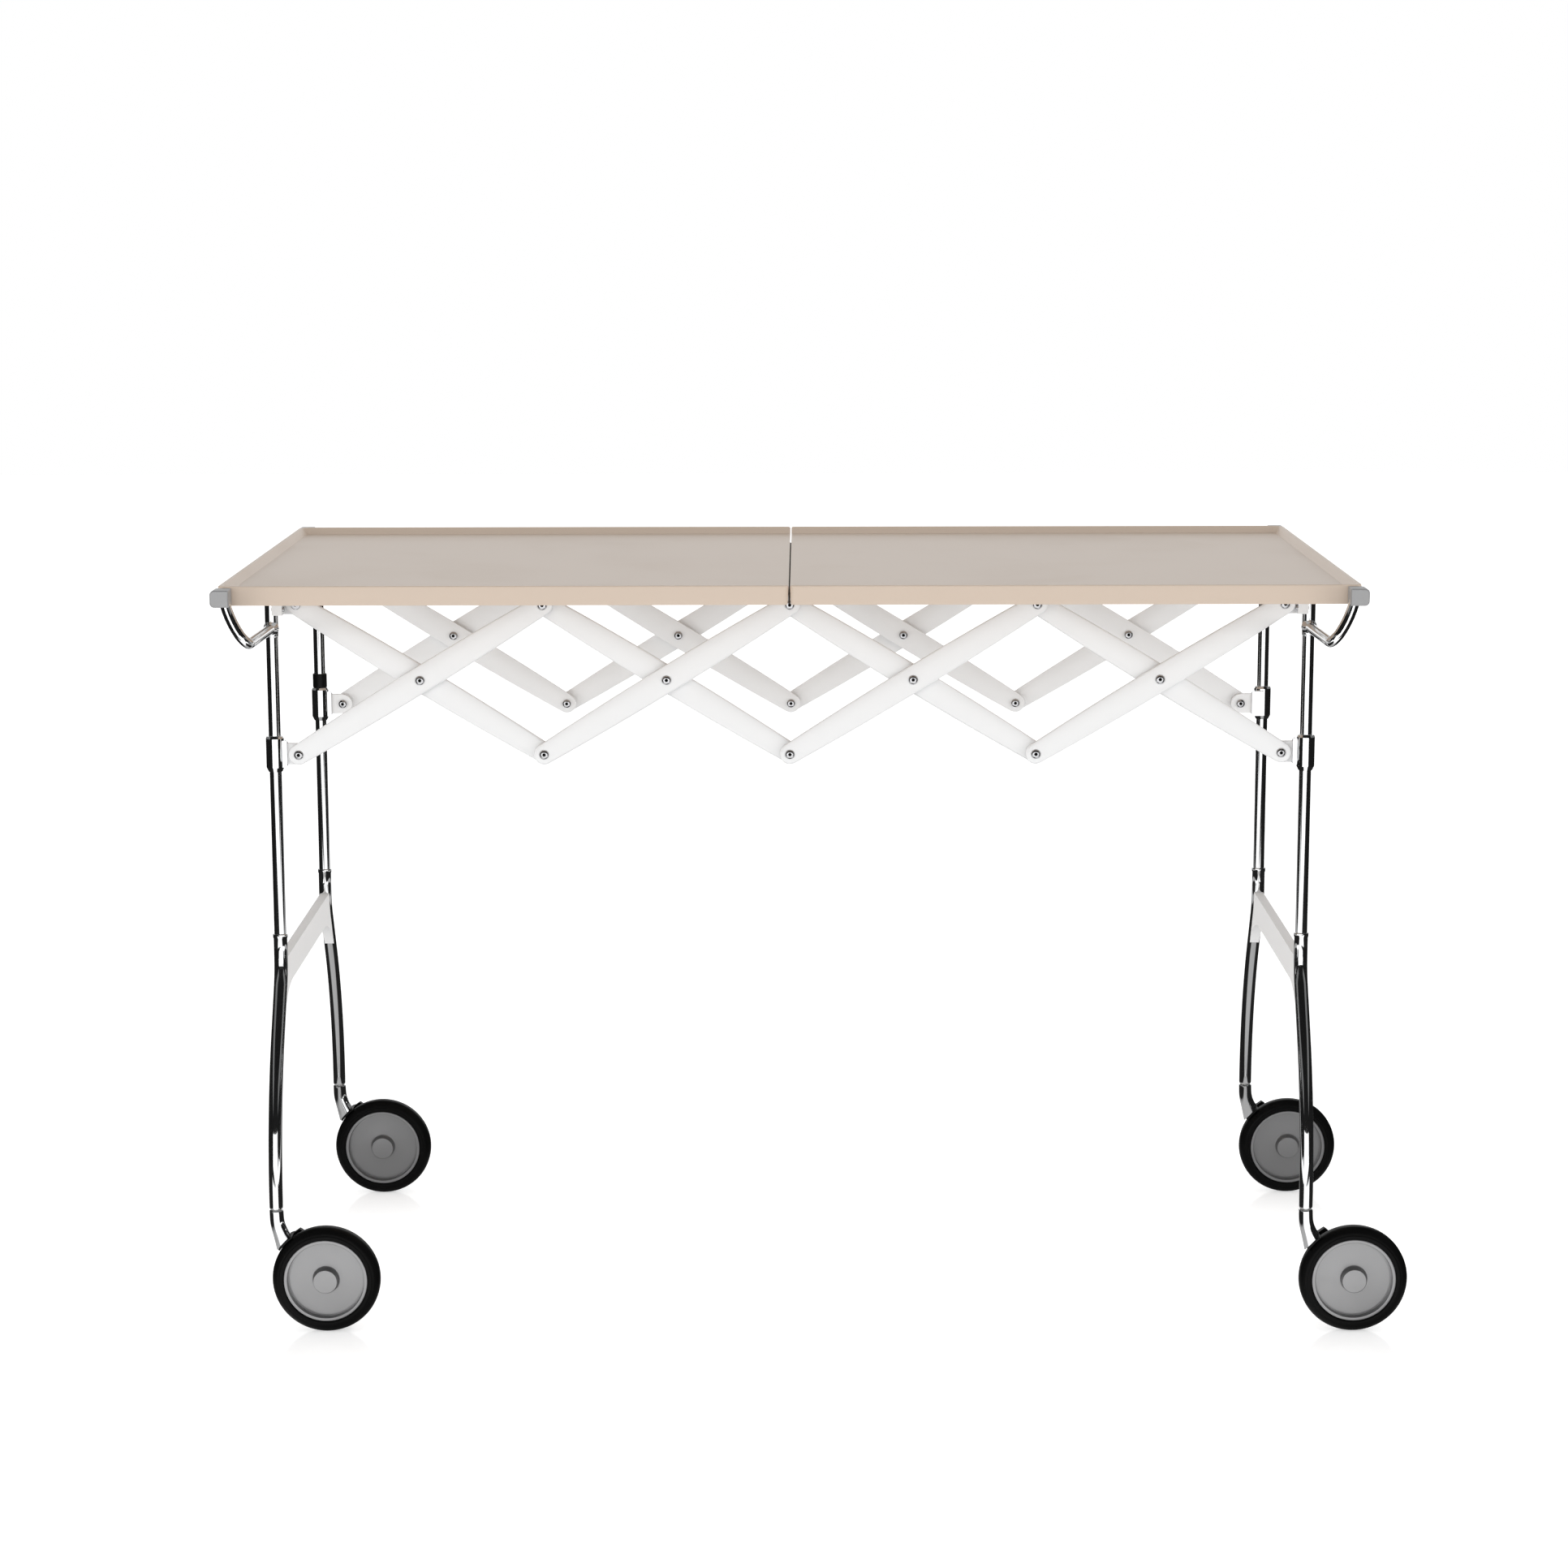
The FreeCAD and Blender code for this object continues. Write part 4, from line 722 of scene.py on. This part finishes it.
def bar_mesh():
    """One bar about its middle: length on X, width on Z, crowned face towards -Y."""
    sides, cap_steps, half = 26, 14, BAR_LENGTH / 2
    outline = []
    for way in (1, -1):
        for step in range(sides):
            along = way * (half - BAR_LENGTH * step / sides)
            outline.append(((along, 0.0), (0.0, float(way)), half_width(along)))
        for step in range(cap_steps):
            angle = way * math.pi / 2 + math.pi * step / cap_steps
            outline.append(((-way * half, 0.0), (math.cos(angle), math.sin(angle)), BAR_END))
    crown_radius = (BAR_MIDDLE ** 2 + BAR_CROWN ** 2) / (2 * BAR_CROWN)
    rings = [(inset, drop, False) for inset, drop in FLAT_RINGS]
    rings += [(inset, drop, True) for inset, drop in CROWN_RINGS]
    shape = bmesh.new()
    made = []
    for inset, drop, crowned in rings:
        ring = []
        for (x, z), (nx, nz), width in outline:
            reach = max(width - inset, 0.0)
            px, pz = x + nx * reach, z + nz * reach
            if crowned:
                py = BAR_THICK - pz * pz / (2 * crown_radius) - drop
            else:
                py = drop
            ring.append(shape.verts.new((px, BAR_THICK / 2 - py, pz)))
        made.append(ring)
    count = len(outline)
    for low, high in zip(made, made[1:]):
        for index in range(count):
            later = (index + 1) % count
            corners = [low[index], low[later], high[later], high[index]]
            if len({tuple(round(c, 8) for c in v.co) for v in corners}) >= 3:
                shape.faces.new(corners)
    shape.faces.new(made[0])
    bmesh.ops.remove_doubles(shape, verts=shape.verts, dist=1e-6)
    bmesh.ops.dissolve_degenerate(shape, edges=shape.edges, dist=1e-6)
    bmesh.ops.recalc_face_normals(shape, faces=shape.faces)
    mesh = bpy.data.meshes.new("bar")
    shape.to_mesh(mesh)
    shape.free()
    return mesh


def drilled(mesh, name):
    """Cuts the three pivot holes and their spot faces into the crowned side."""
    drill = bmesh.new()
    for along in (-BAR_LENGTH / 2, 0.0, BAR_LENGTH / 2):
        turn(drill, [(0, -DRILL_REACH), (SPOT_FACE, -DRILL_REACH), (SPOT_FACE, -HEAD_SEAT),
                     (PIVOT_BORE, -HEAD_SEAT), (PIVOT_BORE, DRILL_REACH), (0, DRILL_REACH)],
             (along, 0, 0), (0, 1, 0), 40)
    bmesh.ops.recalc_face_normals(drill, faces=drill.faces)
    drill_mesh = bpy.data.meshes.new("drill")
    drill.to_mesh(drill_mesh)
    drill.free()
    work = bpy.data.objects.new(name, mesh)
    tool = bpy.data.objects.new("drill", drill_mesh)
    for made in (work, tool):
        bpy.context.scene.collection.objects.link(made)
    cut = work.modifiers.new("holes", "BOOLEAN")
    cut.operation = "DIFFERENCE"
    cut.object = tool
    cut.solver = "EXACT"
    bpy.context.view_layer.update()
    made = work.evaluated_get(bpy.context.evaluated_depsgraph_get())
    result = bpy.data.meshes.new_from_object(made)
    bpy.data.objects.remove(tool)
    bpy.data.objects.remove(work)
    return result


def bar_pair_tree():
    sheet, given, result = geometry_tree("bar_pair", [("Bar", "NodeSocketObject"),
                                                      ("Material", "NodeSocketMaterial")])
    bar = sheet.add("GeometryNodeObjectInfo")
    sheet.join(given.outputs["Bar"], bar.inputs["Object"])
    sheet.join(put_on_places(sheet, given, bar.outputs["Geometry"]), result.inputs["Result"])
    return sheet.tree


def front_and_rear(x, y, z, tilt):
    """The two places of a mirrored pair, each with the angles that turn a front piece to fit."""
    return [(TABLE_SHIFT + Vector((x, -y, z)), (0.0, tilt, 0.0)),
            (TABLE_SHIFT + Vector((x, y, z)), (0.0, -tilt, math.pi))]


BAR_PAIR = bar_pair_tree()
bar_pattern = bpy.data.objects.new("bar_pattern", drilled(bar_mesh(), "bar"))
bpy.context.scene.collection.objects.link(bar_pattern)
for index in range(1, 5):
    for layer, tilt in (("inner", BAR_ANGLE), ("outer", -BAR_ANGLE)):
        node = "%s_bar_%d" % (layer, index)
        mesh = grown(node + "_pair", BAR_PAIR,
                     front_and_rear((index - 2.5) * PIVOT_SPACING, LAYER_Y[layer], CROSS_Z, tilt),
                     {"Bar": bar_pattern, "Material": white_enamel})
        smooth(mesh, 30)
        fit(node + "_pair", mesh, white_enamel, node, "white_enamel", node)
bpy.data.objects.remove(bar_pattern)


# ---------------------------------------------------------------- pivot screws
# Button-headed steel screws with a hexagonal socket hold the bars. A plain washer keeps the two
# layers apart, and a round nut with its own socket closes each pivot on the inside.
def screw_tree():
    sizes = ("Head Radius", "Head Height", "Dome", "Socket Width", "Socket Depth", "Head Seat",
             "Nut Radius", "Nut Height", "Nut Seat", "Washer Radius", "Washer Height", "Washer Seat",
             "Shank Radius")
    sheet, given, result = geometry_tree(
        "pivot_screw",
        [(size, "NodeSocketFloat") for size in sizes] + [("Material", "NodeSocketMaterial")])
    size = given.outputs

    def moved(mesh, z, turned=0.0):
        """A mesh shifted along its axis, and turned over where the angle says so."""
        shift = sheet.add("GeometryNodeTransform")
        lift = sheet.add("ShaderNodeCombineXYZ")
        sheet.join(z, lift.inputs["Z"])
        sheet.join(lift.outputs["Vector"], shift.inputs["Translation"])
        shift.inputs["Rotation"].default_value = (turned, 0.0, 0.0)
        sheet.join(mesh, shift.inputs["Geometry"])
        return shift.outputs["Geometry"]

    def prism(radius, height, middle, sides):
        """A prism of so many sides, its middle at a height."""
        made = sheet.add("GeometryNodeMeshCylinder")
        made.inputs["Vertices"].default_value = sides
        sheet.join(radius, made.inputs["Radius"])
        sheet.join(height, made.inputs["Depth"])
        return moved(made.outputs["Mesh"], middle)

    def barrel(radius, height, seat, sides=40):
        """A cylinder that stands on its seat and rises away from the bars."""
        return prism(radius, height, sheet.sum("MULTIPLY_ADD", height, 0.5, seat), sides)

    def domed(mesh, rise):
        """Raises the face on top in steps that draw in, for a button head."""
        normal = sheet.add("GeometryNodeInputNormal")
        parts = sheet.add("ShaderNodeSeparateXYZ")
        sheet.join(normal.outputs["Normal"], parts.inputs["Vector"])
        facing = sheet.add("FunctionNodeCompare", data_type="FLOAT", operation="GREATER_THAN")
        facing.inputs["B"].default_value = 0.9
        sheet.join(parts.outputs["Z"], facing.inputs["A"])
        selection, current = facing.outputs["Result"], mesh
        for share, draw in ((0.34, 0.97), (0.28, 0.93), (0.22, 0.88), (0.16, 0.80)):
            raised = sheet.add("GeometryNodeExtrudeMesh", mode="FACES")
            sheet.join(current, raised.inputs["Mesh"])
            sheet.join(selection, raised.inputs["Selection"])
            sheet.join(sheet.sum("MULTIPLY", rise, share), raised.inputs["Offset Scale"])
            drawn = sheet.add("GeometryNodeScaleElements", domain="FACE")
            sheet.join(raised.outputs["Mesh"], drawn.inputs["Geometry"])
            sheet.join(raised.outputs["Top"], drawn.inputs["Selection"])
            drawn.inputs["Scale"].default_value = draw
            selection, current = raised.outputs["Top"], drawn.outputs["Geometry"]
        return current

    def socketed(mesh, face, depth, width):
        """Cuts a hexagonal key socket into a face."""
        key = prism(sheet.sum("MULTIPLY", width, 1 / math.sqrt(3)),
                    sheet.sum("MULTIPLY", depth, 2.0), face, 6)
        cut = sheet.add("GeometryNodeMeshBoolean", operation="DIFFERENCE")
        sheet.join(mesh, cut.inputs["Mesh 1"])
        sheet.join(key, cut.inputs["Mesh 2"])
        return cut.outputs["Mesh"]

    def button(radius, height):
        """A domed button with a key socket, standing on the origin. Its socket is marked for painted
        shade, darker the deeper it goes.
        """
        low = sheet.sum("SUBTRACT", height, size["Dome"])
        made = socketed(domed(barrel(radius, low, 0.0), size["Dome"]), height, size["Socket Depth"],
                        size["Socket Width"])
        place = sheet.add("GeometryNodeInputPosition")
        parts = sheet.add("ShaderNodeSeparateXYZ")
        sheet.join(place.outputs["Position"], parts.inputs["Vector"])
        x, y, z = (parts.outputs[axis] for axis in "XYZ")
        from_axis = sheet.sum("SQRT", sheet.sum("ADD", sheet.sum("MULTIPLY", x, x),
                                                sheet.sum("MULTIPLY", y, y)))
        inside = sheet.sum("LESS_THAN", from_axis, sheet.sum("MULTIPLY", size["Socket Width"], 0.60))
        socket_shade = sheet.sum("DIVIDE", sheet.sum("SUBTRACT", height, z), size["Socket Depth"])
        marked = sheet.add("GeometryNodeStoreNamedAttribute", data_type="FLOAT", domain="POINT")
        marked.inputs["Name"].default_value = "socket_shade"
        sheet.join(made, marked.inputs["Geometry"])
        sheet.join(sheet.sum("MULTIPLY", inside, socket_shade), marked.inputs["Value"])
        return marked.outputs["Geometry"]

    head = moved(button(size["Head Radius"], size["Head Height"]), size["Head Seat"])
    nut = moved(button(size["Nut Radius"], size["Nut Height"]), size["Nut Seat"], math.pi)
    washer = barrel(size["Washer Radius"], size["Washer Height"], size["Washer Seat"])
    shank = barrel(size["Shank Radius"], sheet.sum("SUBTRACT", size["Head Seat"], size["Nut Seat"]),
                   size["Nut Seat"], 24)
    whole = sheet.add("GeometryNodeJoinGeometry")
    for part in (head, nut, washer, shank):
        sheet.join(part, whole.inputs["Geometry"])
    sheet.join(put_on_places(sheet, given, whole.outputs["Geometry"]), result.inputs["Result"])
    return sheet.tree


PIVOT_SCREW = screw_tree()
SCREW_SIZES = {"Head Radius": 0.00415, "Head Height": 0.0020, "Dome": 0.0013, "Socket Width": 0.0030,
               "Socket Depth": 0.0014, "Head Seat": HEAD_SEAT, "Nut Radius": 0.0042,
               "Nut Height": 0.0022, "Nut Seat": -0.00865, "Washer Radius": 0.0070,
               "Washer Height": 0.00085, "Washer Seat": -0.0034, "Shank Radius": PIVOT_BORE}


def screw_places(spots):
    """Front and rear places for screws given as (x, layer, z), heads facing out of the table."""
    places = []
    for x, y, z in spots:
        places.append((TABLE_SHIFT + Vector((x, -y, z)), (math.pi / 2, 0.0, 0.0)))
        places.append((TABLE_SHIFT + Vector((x, y, z)), (-math.pi / 2, 0.0, 0.0)))
    return places


screw_steel = finish_material("screw_steel", (0.55, 0.55, 0.56, 1.0), 0.16, drift=0.1, smears=0.1,
                              metallic=1.0)
steel_sheet = Sheet(screw_steel.node_tree)
steel_shader = screw_steel.node_tree.nodes["Principled BSDF"]
# Painted shade: the key sockets' colour darkens towards black with their depth and stands in for the
# shade inside them.
socket_shade = steel_sheet.add("ShaderNodeAttribute", attribute_name="socket_shade")
socket_shade_mix = steel_sheet.add("ShaderNodeMix", data_type="RGBA")
socket_shade_mix.clamp_factor = True
steel_sheet.join(socket_shade.outputs["Fac"], socket_shade_mix.inputs["Factor"])
steel_sheet.join(steel_shader.inputs["Base Color"].links[0].from_socket, socket_shade_mix.inputs["A"])
socket_shade_mix.inputs["B"].default_value = (0.004, 0.004, 0.004, 1.0)
steel_sheet.join(socket_shade_mix.outputs["Result"], steel_shader.inputs["Base Color"])
low_z = 2 * CROSS_Z - TOP_PIVOT_Z
screw_sets = [("outer_bar_%d" % index,
               [((index - 3) * PIVOT_SPACING, LAYER_Y["outer"], low_z),
                ((index - 2.5) * PIVOT_SPACING, LAYER_Y["outer"], CROSS_Z),
                ((index - 2) * PIVOT_SPACING, LAYER_Y["outer"], TOP_PIVOT_Z)],
               "outer_bar_%d_screws" % index) for index in range(1, 5)]
screw_sets.append(("right_collars", [(2 * PIVOT_SPACING, LAYER_Y["inner"], low_z)],
                   "right_collar_screws"))
for body, spots, node in screw_sets:
    mesh = grown(node + "_set", PIVOT_SCREW, screw_places(spots),
                 {**SCREW_SIZES, "Material": screw_steel})
    smooth(mesh, 32)
    fit(node + "_set", mesh, screw_steel, body, "bright_steel", node)


# ---------------------------------------------------------------- ears, arms and corner caps
# White cast ears are screwed to the leg tops and hold the scissor's upper pivots. Bent chromed
# arms rise from the legs to satin grey caps, where the hinge pins of the tray halves sit.
cap_grey = finish_material("cap_satin", (0.37, 0.37, 0.373, 1.0), 0.36, drift=0.04, metallic=0.3,
                           pebble_depth=0.000008, pebbles=2000.0)
for side in SIDES:
    fit(side + "_leg_ears", softened(side + "_top_ears", "leg_ears", 0.0007), white_enamel,
        side + "_frame", "white_enamel", side + "_top_ears")
    dress(side + "_tray_arms", chrome)
    dress(side + "_corner_caps", cap_grey)
    dress(side + "_frame_fasteners", bright_steel)


# ---------------------------------------------------------------- tray halves
# Two moulded beige halves with a rim on three sides meet at the middle seam. They are ribbed
# underneath, and rest on round rubber pads over the legs and the inner pivots.
SEAM_CLOSER = 0.0009
SEAM_REACH = 0.0046


def tray_mesh(side):
    """The frame's tray half, its edges eased and its seam face brought close to the other half's."""
    mesh = softened(side + "_tray", side + "_tray_half", 0.0003, 35.0, 2)
    way = 1 if side == "left" else -1
    low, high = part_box(side + "_tray")
    seam_x = high.x if side == "left" else low.x
    for vertex in mesh.vertices:
        if abs(vertex.co.x - seam_x) < SEAM_REACH:
            vertex.co.x += way * SEAM_CLOSER
    return mesh


tray_beige = finish_material("tray_beige", srgb(210, 192, 175), 0.34, drift=0.02, patches=5.0,
                             grain=0.012, grains=500.0, smears=0.03, smear_count=9.0,
                             pebble_depth=0.000004, pebbles=1500.0)
pad_rubber = finish_material("pad_rubber", (0.03, 0.03, 0.03, 1.0), 0.7, drift=0.1)
for side in SIDES:
    fit(side + "_tray_half", tray_mesh(side), tray_beige, side + "_tray", "tray_plastic", side + "_tray")
    dress(side + "_tray_pads", pad_rubber)
# Painted shade: a thin near-black strip set inside the seam between the tray halves stands in for the
# shade in the narrow gap.
seam_shade_dark = finish_material("seam_shade_dark", (0.05, 0.04, 0.033, 1.0), 0.9, drift=0.1,
                              specular_ior_level=0.05)
SEAM_SHADE_LENGTH, SEAM_SHADE_HEIGHT = 0.425, 0.0098
SEAM_SHADE_SETBACK, SEAM_SHADE_LIFT, SEAM_SHADE_SUNK = 0.0022, 0.0004, 0.0001
SEAM_SHADE_THICK = {"left": 0.00072, "right": 0.00040}
for side, way in (("left", 1), ("right", -1)):
    low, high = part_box(side + "_tray")
    thick = SEAM_SHADE_THICK[side]
    seam_x = (high.x if side == "left" else low.x) + way * SEAM_CLOSER
    strip = bmesh.new()
    bmesh.ops.create_cube(strip, size=1.0)
    bmesh.ops.scale(strip, verts=strip.verts,
                    vec=(thick + 2 * SEAM_SHADE_SUNK, SEAM_SHADE_LENGTH, SEAM_SHADE_HEIGHT))
    bmesh.ops.bevel(strip, geom=strip.edges[:], offset=0.00012, segments=2, affect="EDGES")
    bmesh.ops.translate(strip, verts=strip.verts,
                        vec=(seam_x + way * (thick / 2 - SEAM_SHADE_SUNK),
                             low.y + SEAM_SHADE_SETBACK + SEAM_SHADE_LENGTH / 2,
                             low.z + SEAM_SHADE_LIFT + SEAM_SHADE_HEIGHT / 2))
    seam_shade_strip = bpy.data.objects.new(side + "_seam_buffer", plain_mesh(strip, "seam_shade_strip"))
    seam_shade_strip.data.materials.append(seam_shade_dark)
    bpy.context.scene.collection.objects.link(seam_shade_strip)
    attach(seam_shade_strip, side + "_tray")


# ---------------------------------------------------------------- the studio
# A plain white floor runs out into a white room, lit from low down in front and evenly from the sides.
# Black boards seen only in reflections, and a painted reflection in the floor's own colour that only
# reflections see (near black beside and behind the legs, grey under them), draw the chrome.
def light_path_share(sheet, *kinds):
    """One for the kinds of ray named, and nothing for any other."""
    path = sheet.add("ShaderNodeLightPath")
    total = path.outputs[kinds[0]]
    for kind in kinds[1:]:
        total = sheet.sum("MAXIMUM", total, path.outputs[kind])
    return total


LEG_SPREAD = (LEG_X["right"] - LEG_X["left"]) / 2
LEG_MIDDLE = (LEG_X["right"] + LEG_X["left"]) / 2
WHEEL_SPREAD_Y = 0.222
MIRROR_AHEAD = 0.03
MIRROR_END, MIRROR_FULL, MIRROR_SHARE = 0.15, 0.02, 0.18
DARK_REFLECTION_Y = 0.2
NEAR_DARK_REFLECTION_SLOPE, NEAR_DARK_REFLECTION_SOFT = 1.1, 0.03
FAR_DARK_REFLECTION_SLOPE, FAR_DARK_REFLECTION_SOFT = 0.9, 0.05
FAR_DARK_REFLECTION_START_Y, FAR_DARK_REFLECTION_FULL_Y = -0.85, -0.95
LEG_REFLECTION_GREY_END, LEG_REFLECTION_GREY_FULL = 0.22, 0.14
DARK_REFLECTION_GREY, LEG_REFLECTION_GREY = 0.012, 0.34
FLOOR_WHITE, FLOOR_GLOW = 0.90, 0.62


def floor_material():
    """White floor paint. It keeps shadows and mirrors the wheels faintly, close to them only; to
    reflections alone it shows a painted dark reflection, grey under the legs and near black beside them.
    """
    made = bpy.data.materials.new("studio_floor_white")
    made.use_nodes = True
    sheet = Sheet(made.node_tree)
    shader = made.node_tree.nodes["Principled BSDF"]
    shader.inputs["Roughness"].default_value = 0.9
    shader.inputs["Specular IOR Level"].default_value = 0.0
    where = sheet.add("ShaderNodeTexCoord")
    split = sheet.add("ShaderNodeSeparateXYZ")
    sheet.join(where.outputs["Object"], split.inputs["Vector"])
    x, y = split.outputs["X"], split.outputs["Y"]
    from_middle = sheet.sum("ABSOLUTE", sheet.sum("SUBTRACT", x, LEG_MIDDLE))
    from_legs = sheet.sum("ABSOLUTE", sheet.sum("SUBTRACT", from_middle, LEG_SPREAD))
    from_far_leg = sheet.sum("ADD", from_middle, LEG_SPREAD)
    behind = sheet.sum("ADD", y, DARK_REFLECTION_Y)
    beside = sheet.sum("MULTIPLY_ADD", from_legs, NEAR_DARK_REFLECTION_SLOPE, behind)
    beside_far = sheet.sum("MULTIPLY_ADD", from_far_leg, FAR_DARK_REFLECTION_SLOPE, behind)
    far_painted_dark_reflection = sheet.sum("MULTIPLY", sheet.fade(beside_far, -FAR_DARK_REFLECTION_SOFT, FAR_DARK_REFLECTION_SOFT),
                          sheet.fade(y, FAR_DARK_REFLECTION_START_Y, FAR_DARK_REFLECTION_FULL_Y))
    painted_dark_reflection = sheet.sum("MAXIMUM", sheet.fade(beside, -NEAR_DARK_REFLECTION_SOFT, NEAR_DARK_REFLECTION_SOFT), far_painted_dark_reflection)
    # Painted reflection: only glossy rays see the floor darkened here, near black beside and behind the
    # legs and grey under them.
    under_legs_reflection = sheet.fade(from_legs, LEG_REFLECTION_GREY_END, LEG_REFLECTION_GREY_FULL)
    shade = sheet.sum("MULTIPLY_ADD", under_legs_reflection, LEG_REFLECTION_GREY, DARK_REFLECTION_GREY)
    seen_in_chrome = sheet.sum("MULTIPLY", painted_dark_reflection, light_path_share(sheet, "Is Glossy Ray"))
    tone = sheet.sum("MULTIPLY_ADD", sheet.sum("SUBTRACT", shade, 1.0), seen_in_chrome, 1.0)
    for socket, level in (("Base Color", FLOOR_WHITE), ("Emission Color", 1.0)):
        color = sheet.add("ShaderNodeCombineColor")
        value = sheet.sum("MULTIPLY", tone, level)
        for channel in ("Red", "Green", "Blue"):
            sheet.join(value, color.inputs[channel])
        sheet.join(color.outputs["Color"], shader.inputs[socket])
    glow = light_path_share(sheet, "Is Camera Ray", "Is Glossy Ray", "Is Transmission Ray")
    sheet.join(sheet.sum("MULTIPLY", glow, FLOOR_GLOW), shader.inputs["Emission Strength"])
    wheel_x = sheet.sum("SUBTRACT", sheet.sum("SUBTRACT", x, TRAIL), LEG_MIDDLE)
    from_wheel_x = sheet.sum("SUBTRACT", sheet.sum("ABSOLUTE", wheel_x), LEG_SPREAD)
    from_front, from_rear = (
        sheet.sum("ABSOLUTE", sheet.sum("ADD", y, MIRROR_AHEAD + way * WHEEL_SPREAD_Y))
        for way in (1, -1))
    from_wheel_y = sheet.sum("MINIMUM", from_front, from_rear)
    apart = sheet.sum("SQRT", sheet.sum("ADD", sheet.sum("POWER", from_wheel_x, 2.0),
                                        sheet.sum("POWER", from_wheel_y, 2.0)))
    mirror = sheet.add("ShaderNodeBsdfGlossy")
    mirror.inputs["Roughness"].default_value = 0.10
    both = sheet.add("ShaderNodeMixShader")
    near_wheels = sheet.fade(apart, MIRROR_END, MIRROR_FULL)
    sheet.join(sheet.sum("MULTIPLY", near_wheels, MIRROR_SHARE), both.inputs["Fac"])
    out = made.node_tree.nodes["Material Output"]
    sheet.join(shader.outputs["BSDF"], both.inputs[1])
    sheet.join(mirror.outputs["BSDF"], both.inputs[2])
    sheet.join(both.outputs["Shader"], out.inputs["Surface"])
    return made


def board(name, corners, material):
    """A flat four-cornered board of the studio."""
    mesh = bpy.data.meshes.new(name)
    mesh.from_pydata([Vector(c) for c in corners], [], [(0, 1, 2, 3)])
    mesh.materials.append(material)
    made = bpy.data.objects.new(name, mesh)
    bpy.context.scene.collection.objects.link(made)
    return made


def flag(name, corners, shade):
    """A dark board that only reflections see; it casts no shadow and isn't in the picture."""
    felt = bpy.data.materials.new(name)
    felt.use_nodes = True
    shader = felt.node_tree.nodes["Principled BSDF"]
    shader.inputs["Base Color"].default_value = (0.0, 0.0, 0.0, 1.0)
    shader.inputs["Specular IOR Level"].default_value = 0.0
    shader.inputs["Emission Color"].default_value = (shade, shade, shade, 1.0)
    shader.inputs["Emission Strength"].default_value = 1.0
    made = board(name, corners, felt)
    made.visible_camera = False
    made.visible_diffuse = False
    made.visible_shadow = False
    made.visible_transmission = False
    return made


FLAG_X, FLAG_FRONT_Y, FLAG_BACK_Y, CEILING_Z = 1.6, -2.2, 3.0, 2.6
HEADER_X, HEADER_Y, HEADER_LOW_Z = 3, -3.4, 0.62
FLAG_LOW_Z, FLAG_MIDDLE_Z, FLAG_HIGH_Z = 0.002, 0.70, 1.30
BLACK_FELT, GREY_FELT = 0.01, 0.17
FLOOR_REACH = 9
board("studio_floor", [(x * FLOOR_REACH, y * FLOOR_REACH, 0)
                       for x, y in ((-1, -1), (1, -1), (1, 1), (-1, 1))], floor_material())
for side, name in ((-1, "left_flag"), (1, "right_flag")):
    for part, low_z, high_z, shade in (("low", FLAG_LOW_Z, FLAG_MIDDLE_Z, BLACK_FELT),
                                       ("middle", FLAG_MIDDLE_Z, FLAG_HIGH_Z, GREY_FELT),
                                       ("high", FLAG_HIGH_Z, CEILING_Z, BLACK_FELT)):
        flag(name + "_" + part,
             [(side * FLAG_X, FLAG_FRONT_Y, low_z), (side * FLAG_X, FLAG_BACK_Y, low_z),
              (side * FLAG_X, FLAG_BACK_Y, high_z), (side * FLAG_X, FLAG_FRONT_Y, high_z)], shade)
flag("ceiling_flag", [(-HEADER_X, HEADER_Y, CEILING_Z), (HEADER_X, HEADER_Y, CEILING_Z),
                      (HEADER_X, FLAG_BACK_Y, CEILING_Z), (-HEADER_X, FLAG_BACK_Y, CEILING_Z)],
     BLACK_FELT)
flag("header_flag", [(-HEADER_X, HEADER_Y, HEADER_LOW_Z), (HEADER_X, HEADER_Y, HEADER_LOW_Z),
                     (HEADER_X, HEADER_Y, CEILING_Z), (-HEADER_X, HEADER_Y, CEILING_Z)], BLACK_FELT)

HORIZON_LIGHT, ZENITH_LIGHT = 1.02, 0.635
HORIZON_END, HORIZON_FULL = 0.45, 0.05
world = bpy.data.worlds.new("white_room")
bpy.context.scene.world = world
world.use_nodes = True
room = Sheet(world.node_tree)
background = world.node_tree.nodes["Background"]
background.inputs["Color"].default_value = (1.0, 1.0, 1.0, 1.0)
heading = room.add("ShaderNodeSeparateXYZ")
room.join(room.add("ShaderNodeTexCoord").outputs["Generated"], heading.inputs["Vector"])
band = room.sum("MULTIPLY_ADD", room.fade(heading.outputs["Z"], HORIZON_END, HORIZON_FULL),
                HORIZON_LIGHT, ZENITH_LIGHT)
plain_white = light_path_share(room, "Is Camera Ray", "Is Glossy Ray", "Is Transmission Ray")
lit = room.sum("MULTIPLY", band, room.sum("SUBTRACT", 1.0, plain_white))
room.join(room.sum("ADD", lit, plain_white), background.inputs["Strength"])


def soft_lamp(name, place, target, size, watts):
    data = bpy.data.lights.new(name, "AREA")
    data.shape = "RECTANGLE"
    data.size, data.size_y = size
    data.energy = watts
    made = bpy.data.objects.new(name, data)
    bpy.context.scene.collection.objects.link(made)
    made.location = place
    made.rotation_mode = "QUATERNION"
    made.rotation_quaternion = (Vector(target) - Vector(place)).to_track_quat("-Z", "Y")
    return made


FRONT_WATTS, SIDE_WATTS = 8.0, 21.0
soft_lamp("front_softbox", (-0.5, -4.2, 0.55), (0.0, 0.0, 0.5), (3.4, 1.0), FRONT_WATTS)
for side, name in ((-1, "left_softbox"), (1, "right_softbox")):
    lamp = soft_lamp(name, (side * 3.2, -1.7, 0.40), (0.0, 0.0, 0.45), (2.0, 0.7), SIDE_WATTS)
    lamp.visible_glossy = False
bpy.context.scene.view_settings.view_transform = "Standard"
